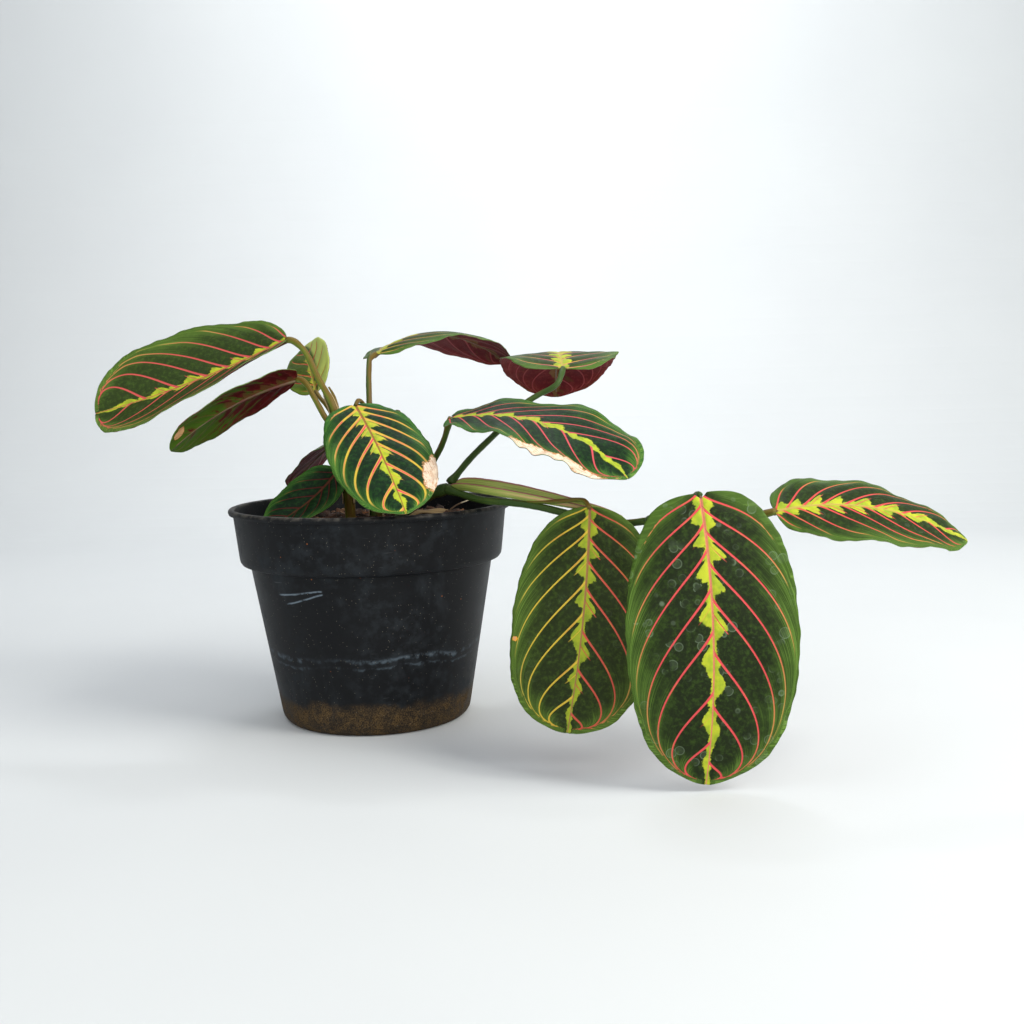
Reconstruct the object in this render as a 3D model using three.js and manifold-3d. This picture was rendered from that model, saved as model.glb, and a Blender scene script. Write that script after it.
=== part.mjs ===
import * as THREE from 'three';
import { mergeVertices } from 'three/addons/utils/BufferGeometryUtils.js';
import Module from 'manifold-3d';

// Potted prayer plant: a low spreading plant in a round nursery pot.
// Millimetres, +Z up. The origin is the middle of the pot's flat base.

// Pot
const POT_HEIGHT = 107;
const POT_SIDES = 32;
const LIP_RADIUS = 70;
const LIP_HEIGHT = 3;
const BAND_TOP_RADIUS = 67.7;
const BAND_LOW_RADIUS = 65.3;
const BAND_LOW = 81.3;
const SHOULDER_RADIUS = 60.2;
const SHOULDER_LOW = 78.7;
const BODY_LOW_RADIUS = 47.6;
const BODY_LOW = 4.8;
const FOOT_RADIUS = 43;
const WALL = 1.3;
const FLOOR = 2.2;
const DRAIN_HOLES = 8;
const DRAIN_RADIUS = 3.5;
const DRAIN_CIRCLE = 34;

// Soil
const SOIL_TOP = 96.5;
const SOIL_GAP = 0.35;
const SOIL_RINGS = 6;
const SOIL_MOUND = 2.2;
const CHIP_COUNT = 30;
const CHIP_REACH = 55;
const FIBRE_COUNT = 9;

// Stems
const HOLE_GAP = 0.35;
const FOOT_DEPTH = 16;
const FOOT_CLEAR = 1;
const FOOT_RISE = 6;
const STEM_SIDES = 8;
const PETIOLE_RADIUS = 1.35;
const JOINT_GAP = 0.4;
const SMALL_INSET = 0.3;
const BLUNT_INSET = 0.5;
const OUTER_INSET = 0.8;

// Leaf blades
const BLADE = 0.7;
const RIB = 0.7;
const BLADE_ROWS = 15;
const BLADE_COLUMNS = 8;
const NOTCH = 0.02;
const TIP = 0.018;
const BASE_BLUNTNESS = 0.72;
const TIP_BLUNTNESS = 0.85;
const FIRST_ROW = 0.02;
const LAST_ROW = 0.992;

const wasm = await Module();
wasm.setup();

// A small repeatable source of random numbers from 0 to 1.
function seededRandom(seed) {
  let state = seed;
  return () => {
    state = (state * 1664525 + 1013904223) % 4294967296;
    return state / 4294967296;
  };
}

function radians(degrees) {
  return THREE.MathUtils.degToRad(degrees);
}

// A closed geometry as a solid that can be joined and cut.
function solidOf(geometry) {
  const bare = new THREE.BufferGeometry();
  bare.setAttribute('position', geometry.attributes.position.clone());
  bare.setIndex(geometry.index ? geometry.index.clone() : null);
  const merged = mergeVertices(bare, 1e-4);
  const corners = merged.index.array;
  const kept = [];
  for (let i = 0; i < corners.length; i += 3) {
    const [a, b, c] = [corners[i], corners[i + 1], corners[i + 2]];
    if (a !== b && b !== c && c !== a) kept.push(a, b, c);
  }
  return new wasm.Manifold(new wasm.Mesh({
    numProp: 3,
    vertProperties: new Float32Array(merged.attributes.position.array),
    triVerts: new Uint32Array(kept),
  }));
}

function geometryOf(solid) {
  const mesh = solid.getMesh();
  const geometry = new THREE.BufferGeometry();
  geometry.setAttribute('position', new THREE.BufferAttribute(mesh.vertProperties, 3));
  geometry.setIndex(new THREE.BufferAttribute(mesh.triVerts, 1));
  geometry.computeVertexNormals();
  return geometry;
}

function joined(geometries) {
  return geometries.map(solidOf).reduce((whole, next) => whole.add(next));
}

function vector(point) {
  return new THREE.Vector3(...point);
}

// A round bar of one radius along a smooth line through the points.
function bar(points, radius, sides = STEM_SIDES, step = 8) {
  const path = new THREE.CatmullRomCurve3(points.map(vector), false, 'centripetal');
  const section = new THREE.Shape();
  for (let i = 0; i < sides; i += 1) {
    const turn = (2 * Math.PI * i) / sides;
    const corner = [radius * Math.cos(turn), radius * Math.sin(turn)];
    if (i === 0) section.moveTo(...corner);
    else section.lineTo(...corner);
  }
  const steps = Math.max(2, Math.round(path.getLength() / step));
  return new THREE.ExtrudeGeometry(section, { steps, extrudePath: path, bevelEnabled: false });
}

function ball(centre, radius, stretch = 1, along = [0, 0, 1]) {
  const geometry = new THREE.SphereGeometry(radius, STEM_SIDES, 6);
  geometry.scale(1, stretch, 1);
  const turn = new THREE.Quaternion().setFromUnitVectors(new THREE.Vector3(0, 1, 0), vector(along).normalize());
  geometry.applyQuaternion(turn);
  geometry.translate(...centre);
  return geometry;
}

function turned(profile, sides) {
  const points = profile.map(([radius, height]) => new THREE.Vector2(radius, height));
  return new THREE.LatheGeometry(points, sides).rotateX(Math.PI / 2);
}

function node(name, geometry, colour, roughness) {
  const material = new THREE.MeshStandardMaterial({ color: colour, roughness, metalness: 0 });
  const mesh = new THREE.Mesh(geometry, material);
  mesh.name = name;
  return mesh;
}

// The pot's inner wall, from the floor up.
function innerWall(gap) {
  return [
    [BODY_LOW_RADIUS - WALL - 1.4 - gap, FLOOR + gap],
    [BODY_LOW_RADIUS - WALL - gap, BODY_LOW + gap],
    [SHOULDER_RADIUS - WALL - gap, SHOULDER_LOW - WALL],
    [BAND_LOW_RADIUS - WALL - gap, BAND_LOW - WALL * 0.4],
    [BAND_TOP_RADIUS - WALL - gap, POT_HEIGHT - LIP_HEIGHT - 0.5],
  ];
}

function makePot() {
  const outside = [
    [0, 0],
    [FOOT_RADIUS, 0],
    [BODY_LOW_RADIUS - 0.9, BODY_LOW * 0.4],
    [BODY_LOW_RADIUS, BODY_LOW],
    [SHOULDER_RADIUS, SHOULDER_LOW],
    [BAND_LOW_RADIUS - 1, BAND_LOW - 1.6],
    [BAND_LOW_RADIUS, BAND_LOW + 0.6],
    [BAND_TOP_RADIUS, POT_HEIGHT - LIP_HEIGHT],
    [LIP_RADIUS, POT_HEIGHT - LIP_HEIGHT * 0.7],
    [LIP_RADIUS - 1, POT_HEIGHT],
  ];
  const inside = innerWall(0).reverse();
  let pot = solidOf(turned([...outside, ...inside, [0, FLOOR]], POT_SIDES));
  for (let i = 0; i < DRAIN_HOLES; i += 1) {
    const turn = (2 * Math.PI * (i + 0.5)) / DRAIN_HOLES;
    const drain = new THREE.CylinderGeometry(DRAIN_RADIUS, DRAIN_RADIUS, 4 * FLOOR, 8).rotateX(Math.PI / 2);
    drain.translate(DRAIN_CIRCLE * Math.cos(turn), DRAIN_CIRCLE * Math.sin(turn), 0);
    pot = pot.subtract(solidOf(drain));
  }
  return geometryOf(pot);
}

// Height of the soil's uneven surface.
function soilHeight(x, y) {
  const out = Math.hypot(x, y) / CHIP_REACH;
  const mound = SOIL_MOUND * Math.max(0, 1 - out * out);
  const lumps = 0.9 * Math.sin(x * 0.16 + 1.3) * Math.cos(y * 0.19) + 0.5 * Math.sin(x * 0.41 - y * 0.33);
  return SOIL_TOP + mound + lumps;
}

function soilBody() {
  const wall = innerWall(SOIL_GAP).slice(0, 4);
  const slope = (BAND_TOP_RADIUS - BAND_LOW_RADIUS) / (POT_HEIGHT - LIP_HEIGHT - BAND_LOW);
  const edge = wall[3][0] + slope * (SOIL_TOP - BAND_LOW);
  const top = [];
  for (let i = 0; i <= SOIL_RINGS; i += 1) top.push([edge * (1 - i / SOIL_RINGS), SOIL_TOP]);
  const body = turned([[0, FLOOR + SOIL_GAP], ...wall, ...top], POT_SIDES);
  const places = body.attributes.position;
  for (let i = 0; i < places.count; i += 1) {
    const [x, y, z] = [places.getX(i), places.getY(i), places.getZ(i)];
    const out = Math.hypot(x, y);
    if (z > SOIL_TOP - 0.01 && out < edge - 1) places.setZ(i, soilHeight(x, y));
  }
  return body;
}

// Flat chips of bark, half sunk in the soil.
function barkChips(random) {
  const chips = [];
  for (let i = 0; i < CHIP_COUNT; i += 1) {
    const size = [5 + 7 * random(), 3 + 3 * random(), 1.6 + 1.4 * random()];
    const reach = CHIP_REACH * Math.sqrt(random());
    const around = 2 * Math.PI * random();
    const [x, y] = [reach * Math.cos(around), reach * Math.sin(around)];
    const chip = new THREE.BoxGeometry(...size);
    chip.rotateX(0.5 * (random() - 0.5)).rotateY(0.6 * (random() - 0.5)).rotateZ(Math.PI * random());
    chip.translate(x, y, soilHeight(x, y) + 0.15 * size[2]);
    chips.push(chip);
  }
  return chips;
}

// Coir fibres, each a low arch with both ends in the soil.
function coirFibres(random) {
  const fibres = [];
  for (let i = 0; i < FIBRE_COUNT; i += 1) {
    const reach = 14 + 36 * random();
    const around = 2 * Math.PI * random();
    const aim = 2 * Math.PI * random();
    const half = 5 + 6 * random();
    const [x, y] = [reach * Math.cos(around), reach * Math.sin(around)];
    const [dx, dy] = [half * Math.cos(aim), half * Math.sin(aim)];
    const ground = soilHeight(x, y);
    fibres.push(bar([
      [x - dx, y - dy, ground - 2.5],
      [x, y, ground + 1.2 + random()],
      [x + dx, y + dy, ground - 2.5],
    ], 0.5, 4, 6));
  }
  return fibres;
}

function makeSoil(feet) {
  const random = seededRandom(41);
  let soil = joined([soilBody(), ...barkChips(random), ...coirFibres(random)]);
  for (const foot of feet) {
    const hole = new THREE.CylinderGeometry(foot.radius + HOLE_GAP, foot.radius + HOLE_GAP, 2 * FOOT_DEPTH, 12);
    hole.rotateX(Math.PI / 2).translate(foot.x, foot.y, SOIL_TOP);
    soil = soil.subtract(solidOf(hole));
  }
  const [whole] = soil.decompose().sort((a, b) => b.volume() - a.volume());
  return geometryOf(whole);
}

// The blade's own directions a fraction t along its midrib: along, across to its right, and up.
function bladeAxes(leaf, t) {
  const heading = radians(leaf.heading + leaf.sweep * t);
  const rise = radians(leaf.rise - leaf.droop * t);
  const roll = radians(leaf.roll + leaf.twist * t);
  const level = Math.cos(rise);
  const along = new THREE.Vector3(level * Math.cos(heading), level * Math.sin(heading), Math.sin(rise));
  const side = new THREE.Vector3(Math.sin(heading), -Math.cos(heading), 0);
  const top = side.clone().cross(along);
  const across = side.clone().multiplyScalar(Math.cos(roll)).addScaledVector(top, Math.sin(roll));
  return { along, across, up: across.clone().cross(along) };
}

// Points along the midrib, which bends evenly from base to tip.
function midribOf(leaf) {
  const steps = 60;
  const reach = 1.05;
  const points = [vector(leaf.base)];
  for (let i = 0; i < steps; i += 1) {
    const { along } = bladeAxes(leaf, (reach * (i + 0.5)) / steps);
    points.push(points[i].clone().addScaledVector(along, (leaf.length * reach) / steps));
  }
  return (t) => {
    const place = THREE.MathUtils.clamp((t / reach) * steps, 0, steps - 1e-6);
    const i = Math.floor(place);
    return points[i].clone().lerp(points[i + 1], place - i);
  };
}

// Maps a row (0 at the base, 1 at the tip) and a column (-1 left margin, 1 right margin) to the blade.
function bladePoint(leaf, midrib, row, column) {
  const out = Math.abs(column);
  const onLeft = column < 0;
  const half = onLeft ? leaf.left : leaf.right;
  const bow = 0.5 * (1 - Math.cos(Math.PI * row));
  const [baseBluntness, tipBluntness] = leaf.bluntness ?? [BASE_BLUNTNESS, TIP_BLUNTNESS];
  const bluntness = baseBluntness + (tipBluntness - baseBluntness) * row;
  const broad = Math.sin(Math.PI * row ** (leaf.taper ?? 1)) ** bluntness;
  const tip = TIP * Math.exp(-(((1 - row) / 0.05) ** 2));
  const start = NOTCH + (1 + TIP - NOTCH) * (0.55 * bow + 0.45 * row) - 0.1 * Math.sin(Math.PI * row);
  const stem = THREE.MathUtils.clamp(start, NOTCH, 1 + TIP);
  const t = stem + (bow + tip - stem) * out;
  const { along, across, up } = bladeAxes(leaf, THREE.MathUtils.clamp(t, 0, 1.05));
  const span = half * broad * out;
  const fold = radians(onLeft ? leaf.foldLeft : leaf.foldRight);
  const curl = (radians(onLeft ? leaf.curlLeft : leaf.curlRight) || 1e-5) / half;
  const sideways = (Math.sin(fold + curl * span) - Math.sin(fold)) / curl;
  const waves = leaf.waves ?? 4;
  const ripple = leaf.ripple * out ** 2 * broad * Math.sin(2 * Math.PI * waves * row + (onLeft ? 0.8 : 2.6));
  const lift = (Math.cos(fold) - Math.cos(fold + curl * span)) / curl + ripple;
  return midrib(t)
    .addScaledVector(along, Math.min(t, 0) * leaf.length)
    .addScaledVector(across, Math.sign(column) * sideways)
    .addScaledVector(up, lift);
}

// A thin closed blade: a bent sheet, its offset copy and the rim between them, split alike on both faces.
function makeBlade(leaf) {
  const sheet = new THREE.PlaneGeometry(2, 1, BLADE_COLUMNS, BLADE_ROWS);
  const midrib = midribOf(leaf);
  const places = sheet.attributes.position;
  const columns = [];
  for (let i = 0; i < places.count; i += 1) {
    const row = FIRST_ROW + (LAST_ROW - FIRST_ROW) * (places.getY(i) + 0.5);
    columns.push(places.getX(i));
    places.setXYZ(i, ...bladePoint(leaf, midrib, row, places.getX(i)));
  }
  sheet.computeVertexNormals();
  const normals = sheet.attributes.normal;
  const top = [];
  const low = [];
  for (let i = 0; i < places.count; i += 1) {
    const place = new THREE.Vector3().fromBufferAttribute(places, i);
    const normal = new THREE.Vector3().fromBufferAttribute(normals, i);
    const rib = Math.abs(columns[i]) < 1e-6 ? RIB : 0;
    top.push(...place.clone().addScaledVector(normal, BLADE / 2));
    low.push(...place.clone().addScaledVector(normal, -BLADE / 2 - rib));
  }
  const faces = Array.from(sheet.index.array);
  const count = places.count;
  const under = [];
  for (let i = 0; i < faces.length; i += 3) {
    under.push(faces[i] + count, faces[i + 2] + count, faces[i + 1] + count);
  }
  const wide = BLADE_COLUMNS + 1;
  const rim = [];
  for (let c = 0; c < BLADE_COLUMNS; c += 1) rim.push(c);
  for (let r = 0; r < BLADE_ROWS; r += 1) rim.push(r * wide + BLADE_COLUMNS);
  for (let c = BLADE_COLUMNS; c > 0; c -= 1) rim.push(BLADE_ROWS * wide + c);
  for (let r = BLADE_ROWS; r > 0; r -= 1) rim.push(r * wide);
  const edge = [];
  rim.forEach((a, i) => {
    const b = rim[(i + 1) % rim.length];
    edge.push(a, b, a + count, b, b + count, a + count);
  });
  const blade = new THREE.BufferGeometry();
  blade.setAttribute('position', new THREE.Float32BufferAttribute([...top, ...low], 3));
  blade.setIndex([...faces, ...under, ...edge]);
  blade.computeVertexNormals();
  return blade;
}

// Every leaf: where its base is, its length and half widths in millimetres, and its bends in degrees.
// heading and rise are its compass and climbing angles at the base, sweep and droop their change to the tip,
// roll and twist the same about the midrib, and fold and curl the angle of each half and its change outwards.
// A bluntness below 1 makes the outline's base (first value) and tip (second value) broader than an ellipse's.
const LEAVES = [
  {
    name: 'leaf_upper_left', base: [-38.5, 0, 189.5], length: 103, left: 33, right: 33,
    heading: 179, sweep: 1, rise: -25, droop: -11, roll: 15, twist: 28,
    foldLeft: 0, foldRight: 27, curlLeft: 22, curlRight: -1,
    bluntness: [0.85, 0.68], ripple: 0.7, colour: 0x3f6b33,
  },
  {
    name: 'leaf_lower_left', base: [-33.3, -6, 169.8], length: 71, left: 21, right: 21,
    heading: 208, sweep: 7, rise: -13, droop: 27, roll: -19, twist: -9,
    foldLeft: 21, foldRight: -1, curlLeft: -38, curlRight: -21, ripple: 0.5, colour: 0x5a2b2b,
  },
  {
    name: 'leaf_young', base: [-26, 4, 163], length: 46, left: 14.5, right: 14.5,
    heading: 112, sweep: -6, rise: 40, droop: 29, roll: 33, twist: 6,
    foldLeft: 2, foldRight: 10, curlLeft: 0, curlRight: 16, ripple: 0.5, colour: 0x8a9a3c,
  },
  {
    name: 'leaf_front', base: [-2.8, -20, 156.5], length: 79, left: 24, right: 24,
    heading: -62, sweep: -1, rise: -29, droop: 14, roll: -6, twist: -6,
    foldLeft: 0, foldRight: 0, curlLeft: -4, curlRight: -15,
    bluntness: [0.6, 0.9], ripple: 0.8, colour: 0x41703a,
  },
  {
    name: 'leaf_low_front', base: [-13, -16, 125], length: 46, left: 14, right: 14,
    heading: -144, sweep: -3, rise: -49, droop: -32, roll: 52, twist: -26,
    foldLeft: 21, foldRight: 10, curlLeft: 5, curlRight: -6, ripple: 0.4, colour: 0x2c5a31,
  },
  {
    name: 'leaf_low_back', base: [10, 17, 150.4], length: 79, left: 24, right: 24,
    heading: 150, sweep: -1, rise: -10, droop: 37, roll: 12, twist: -2,
    foldLeft: -3, foldRight: 0, curlLeft: -1, curlRight: -1, ripple: 0.7, colour: 0x4a2028,
  },
  {
    name: 'leaf_top', base: [1.5, 22, 181.3], length: 91, left: 26, right: 25,
    heading: 51, sweep: -21, rise: 32, droop: 69, roll: 3, twist: 6,
    foldLeft: -15, foldRight: -1, curlLeft: 17, curlRight: -21, ripple: 0.7, colour: 0x5e3038,
  },
  {
    name: 'leaf_arched', base: [97.9, 4, 171.6], length: 98, left: 31, right: 32,
    heading: 94, sweep: -4, rise: 29, droop: 75, roll: -7, twist: 3,
    foldLeft: -9, foldRight: 3, curlLeft: -1, curlRight: 1, ripple: 0.7, colour: 0x6a2f3e,
  },
  {
    name: 'leaf_dried_edge', base: [43.6, -30, 149.3], length: 99, left: 29, right: 29,
    heading: -17, sweep: -26, rise: 9, droop: 49, roll: -11, twist: -1,
    foldLeft: 3, foldRight: -1, curlLeft: -1, curlRight: 1,
    bluntness: [0.65, 0.8], ripple: 1.6, colour: 0x466f3c,
  },
  {
    name: 'leaf_hanging_inner', base: [107.8, -70, 109.8], length: 101, left: 32, right: 32,
    heading: -107, sweep: 3, rise: -82, droop: -39, roll: -1, twist: 4,
    foldLeft: -7, foldRight: 2, curlLeft: 1, curlRight: -1,
    bluntness: [0.85, 0.7], ripple: 0.7, colour: 0x35602f,
  },
  {
    name: 'leaf_hanging_outer', base: [149.4, -128, 120.3], length: 117, left: 34, right: 34,
    heading: -71, sweep: 1, rise: -70, droop: 36, roll: -18, twist: 3,
    foldLeft: 0, foldRight: -3, curlLeft: 1, curlRight: -13,
    bluntness: [0.58, 0.88], ripple: 0.8, colour: 0x335c2d,
  },
  {
    name: 'leaf_far_right', base: [180.5, -118, 111.4], length: 82, left: 24, right: 23,
    heading: 9, sweep: -5, rise: 11, droop: 42, roll: -30, twist: 11,
    foldLeft: 5, foldRight: -10, curlLeft: -17, curlRight: 5,
    bluntness: [0.7, 0.9], ripple: 1.0, colour: 0x3f6c35,
  },
];

// The boat-shaped sheath round the runner's leaf stalk, a folded blade that tapers to a point.
const SHEATH = {
  base: [43, -26, 115.6], length: 88, left: 9.5, right: 5.6, taper: 0.62,
  bluntness: [1, 1],
  heading: -36, sweep: 20, rise: -5, droop: 4, roll: 0, twist: 0,
  foldLeft: 40, foldRight: 40, curlLeft: 45, curlRight: 45, ripple: 0,
};

// Where a leaf stalk ends: just short of its blade, or a little way into the notch of a blunt one.
function stalkEnd(name, into = -JOINT_GAP) {
  const leaf = LEAVES.find((entry) => entry.name === name);
  return vector(leaf.base).addScaledVector(bladeAxes(leaf, 0).along, into).toArray();
}

// A stem's foot stands straight in its hole in the soil, up to where the stem leans away.
function post(foot) {
  const length = FOOT_DEPTH + FOOT_RISE - FOOT_CLEAR;
  const geometry = new THREE.CylinderGeometry(foot.radius, foot.radius, length, STEM_SIDES).rotateX(Math.PI / 2);
  return geometry.translate(foot.x, foot.y, SOIL_TOP + FOOT_RISE - length / 2);
}

function footTop(foot) {
  return [foot.x, foot.y, SOIL_TOP + FOOT_RISE - 0.5 * foot.radius];
}

const LEFT_FOOT = { x: -9, y: -8, radius: 2.6 };
const MIDDLE_FOOT = { x: 3, y: -1, radius: 3.2 };
const RUNNER_FOOT = { x: 16.5, y: -21.5, radius: 2.2 };

function makeLeftShoot() {
  const trunk = [footTop(LEFT_FOOT), [-9.5, -9.5, 118], [-11, -11.5, 134], [-13.4, -12, 148]];
  return geometryOf(joined([
    post(LEFT_FOOT),
    bar(trunk, LEFT_FOOT.radius),
    ball([-13.4, -12, 148], 3, 1.6, [-0.3, 0, 1]),
    bar([
      [-12.6, -12, 145], [-15, -12, 156.6], [-22, -8, 168.9], [-28.2, -4, 181.3],
      [-31.6, -2, 185.6], [-35.5, -1, 188.6], stalkEnd('leaf_upper_left'),
    ], 1.6),
    bar([
      [-13, -12.5, 144], [-18.1, -12, 149.3], [-22, -11, 156.2], [-25, -10, 161.6],
      [-28, -8.5, 166.8], [-31, -7, 169.2], stalkEnd('leaf_lower_left'),
    ], 1.4),
    bar([[-13.5, -11, 148], [-19, -6, 156], [-23.5, -1, 160.5], stalkEnd('leaf_young')], 1.2),
    bar([[-13, -10, 146], [-14, -7.5, 156], [-15.6, -7, 162], [-17.6, -7, 165.4]], 1.2),
    bar([[-9.6, -9.5, 116], [-9.6, -11.5, 126], [-11, -13.8, 128.4], stalkEnd('leaf_low_front')], 1.2),
  ]));
}

function makeMiddleShoot() {
  const trunk = [footTop(MIDDLE_FOOT), [3, -1, 112], [2.5, -1, 124]];
  return geometryOf(joined([
    post(MIDDLE_FOOT),
    bar(trunk, MIDDLE_FOOT.radius),
    ball([2.5, -1, 122], 3.6, 1.5),
    bar([
      [2.6, -2, 118], [2.5, -6, 140], [0.5, -12, 156], [-1.6, -16.5, 158.6], stalkEnd('leaf_front'),
    ], PETIOLE_RADIUS),
    bar([[3, 0, 118], [8, 5, 134], [14, 10, 148], [13.5, 14.6, 151.6], stalkEnd('leaf_low_back', BLUNT_INSET)], 1.3),
    bar([
      [2.4, -0.5, 118], [1, 0, 143.6], [0.9, 2, 160], [0.4, 6, 168.4], [-0.1, 12, 174.9],
      [-0.3, 17.5, 179.4], stalkEnd('leaf_top', SMALL_INSET),
    ], 1.5),
    bar([
      [3.4, -1.5, 110], [8, -3, 114], [28.9, -10, 123.2], [36.4, -18, 132.3], [40.5, -24, 140.2],
      [42.6, -28.2, 146], stalkEnd('leaf_dried_edge', SMALL_INSET),
    ], 1.5),
  ]));
}

function makeRunner() {
  const trunk = [footTop(RUNNER_FOOT), [20.5, -22, 104.6], [33.4, -24, 112.6], [41.5, -26, 116]];
  return geometryOf(joined([
    post(RUNNER_FOOT),
    bar(trunk, RUNNER_FOOT.radius),
    ball([42, -26, 116.4], 3.2, 1.4, [1, -0.4, 0]),
    bar([
      [40.5, -25.8, 115.6], [56, -33.5, 110.9], [71.6, -42.5, 109.9], [82.8, -49, 108.8], [96.4, -56, 106.1],
      [112.5, -61, 103], [123.4, -66, 101.8], [133, -72, 103.3], [153.6, -92, 106], [166, -104.5, 107.6],
    ], 1.9),
    bar([[160, -98.5, 106.8], [172, -110.5, 108.6], [177, -115.8, 110.2], stalkEnd('leaf_far_right')], 1.3),
    ball([134, -73, 103.4], 2.9, 1.8, [1, -0.8, 0.15]),
    bar([
      [42.4, -24.6, 118], [51.8, -18, 129.1], [63.4, -11, 140.1], [71.3, -6, 147.6], [78.8, -3, 155],
      [86.2, -3, 159.5], [92, -4.4, 162.2], [95, -4.6, 164.6], [96.6, -1.5, 168],
      stalkEnd('leaf_arched', BLUNT_INSET),
    ], 1.7),
    bar([
      [80, -47.5, 112.2], [94.7, -57.5, 112.6], [101.8, -62.5, 113.6], [106, -66.8, 112.9],
      stalkEnd('leaf_hanging_inner'),
    ], PETIOLE_RADIUS),
    bar([
      [134, -73, 103.4], [139.3, -88, 107.5], [144.8, -107, 113.8], [148, -118.5, 118], [149, -124.6, 119.8],
      stalkEnd('leaf_hanging_outer', OUTER_INSET),
    ], 1.4),
    makeBlade(SHEATH),
  ]));
}

const plant = new THREE.Group();
plant.add(node('pot', makePot(), 0x17191c, 0.45));
plant.add(node('soil', makeSoil([LEFT_FOOT, MIDDLE_FOOT, RUNNER_FOOT]), 0x2a1d16, 0.95));
plant.add(node('left_shoot', makeLeftShoot(), 0x86833c, 0.5));
plant.add(node('middle_shoot', makeMiddleShoot(), 0x6b5a33, 0.5));
plant.add(node('runner', makeRunner(), 0x3c4a24, 0.5));
for (const leaf of LEAVES) plant.add(node(leaf.name, makeBlade(leaf), leaf.colour, 0.5));

export default plant;
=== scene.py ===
"""Potted prayer plant: fine leaves, stems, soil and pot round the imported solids, with a plain studio."""
import math
import random

import bmesh
import bpy
import numpy as np
from bpy.props import FloatProperty, FloatVectorProperty, IntProperty, PointerProperty
from mathutils import Matrix, Vector, noise


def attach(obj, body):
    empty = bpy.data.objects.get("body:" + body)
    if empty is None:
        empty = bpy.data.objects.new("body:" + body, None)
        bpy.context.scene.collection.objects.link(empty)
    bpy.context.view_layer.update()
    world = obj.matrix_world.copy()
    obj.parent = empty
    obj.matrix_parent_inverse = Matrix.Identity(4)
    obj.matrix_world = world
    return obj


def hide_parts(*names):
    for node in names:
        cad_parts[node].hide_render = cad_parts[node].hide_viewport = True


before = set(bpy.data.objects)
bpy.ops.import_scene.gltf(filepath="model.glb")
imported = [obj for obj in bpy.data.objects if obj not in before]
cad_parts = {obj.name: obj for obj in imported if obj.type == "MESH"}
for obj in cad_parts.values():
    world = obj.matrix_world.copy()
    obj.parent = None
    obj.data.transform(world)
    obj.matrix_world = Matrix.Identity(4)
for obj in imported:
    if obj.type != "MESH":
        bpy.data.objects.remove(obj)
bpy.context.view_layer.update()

bl_info = {
    "name": "Potted Prayer Plant",
    "version": (1, 0, 0),
    "blender": (4, 5, 0),
    "location": "3D View > Sidebar > Plant",
    "description": "Builds a prayer plant in a nursery pot, leaf by leaf, with its studio",
    "category": "Add Mesh",
}

MM = 0.001

# Blades: the outline's notch and tip as shares of the length, the ends of the rows, how much thinner the margin is,
# and the waves and finer flutter along each margin. The least curl, in degrees, keeps a flat blade's sums finite.
NOTCH = 0.02
TIP = 0.018
TIP_REACH = 0.05
FIRST_ROW = 0.004
LAST_ROW = 0.998
MIDRIB_STEPS = 60
MIDRIB_REACH = 1.05
MARGIN_THINNING = 0.45
MARGIN_WAVES = 4
WAVE_STARTS = (0.8, 2.6)
FLUTTERS = 13
FLUTTER_HEIGHT = 0.22
LEAST_CURL = 1e-4

# Relief of the blades: depths in metres, then in millimetres from the midrib where a swelling reaches its height and
# where the groove ends, and over which shares of the half width and the length they die out
GROOVE = 0.0003
CRINKLE = 0.0011
SWELL_START = 4
GROOVE_WIDTH = 0.9
SWELL_END = 0.25
GROOVE_END = 0.3
COLUMN_CROWDING = 1.25

# Thin sheets, in metres
SHEATH_THICKNESS = 0.0005
SCRAP_THICKNESS = 0.0004

# Veins: how they leave the midrib and bow towards the tip, and where the first ones start, left and right
VEIN_BOW = 0.83
VEIN_BOW_POWER = 0.853
VEIN_SPREAD = 0.55
VEIN_HOOK = 0.016
VEIN_HOOK_REACH = 2.2
VEIN_BLUR = 0.13
VEIN_HALVINGS = 28
FIRST_VEIN = (0.87, 0.55)
GAP_REACH = 0.25

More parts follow.
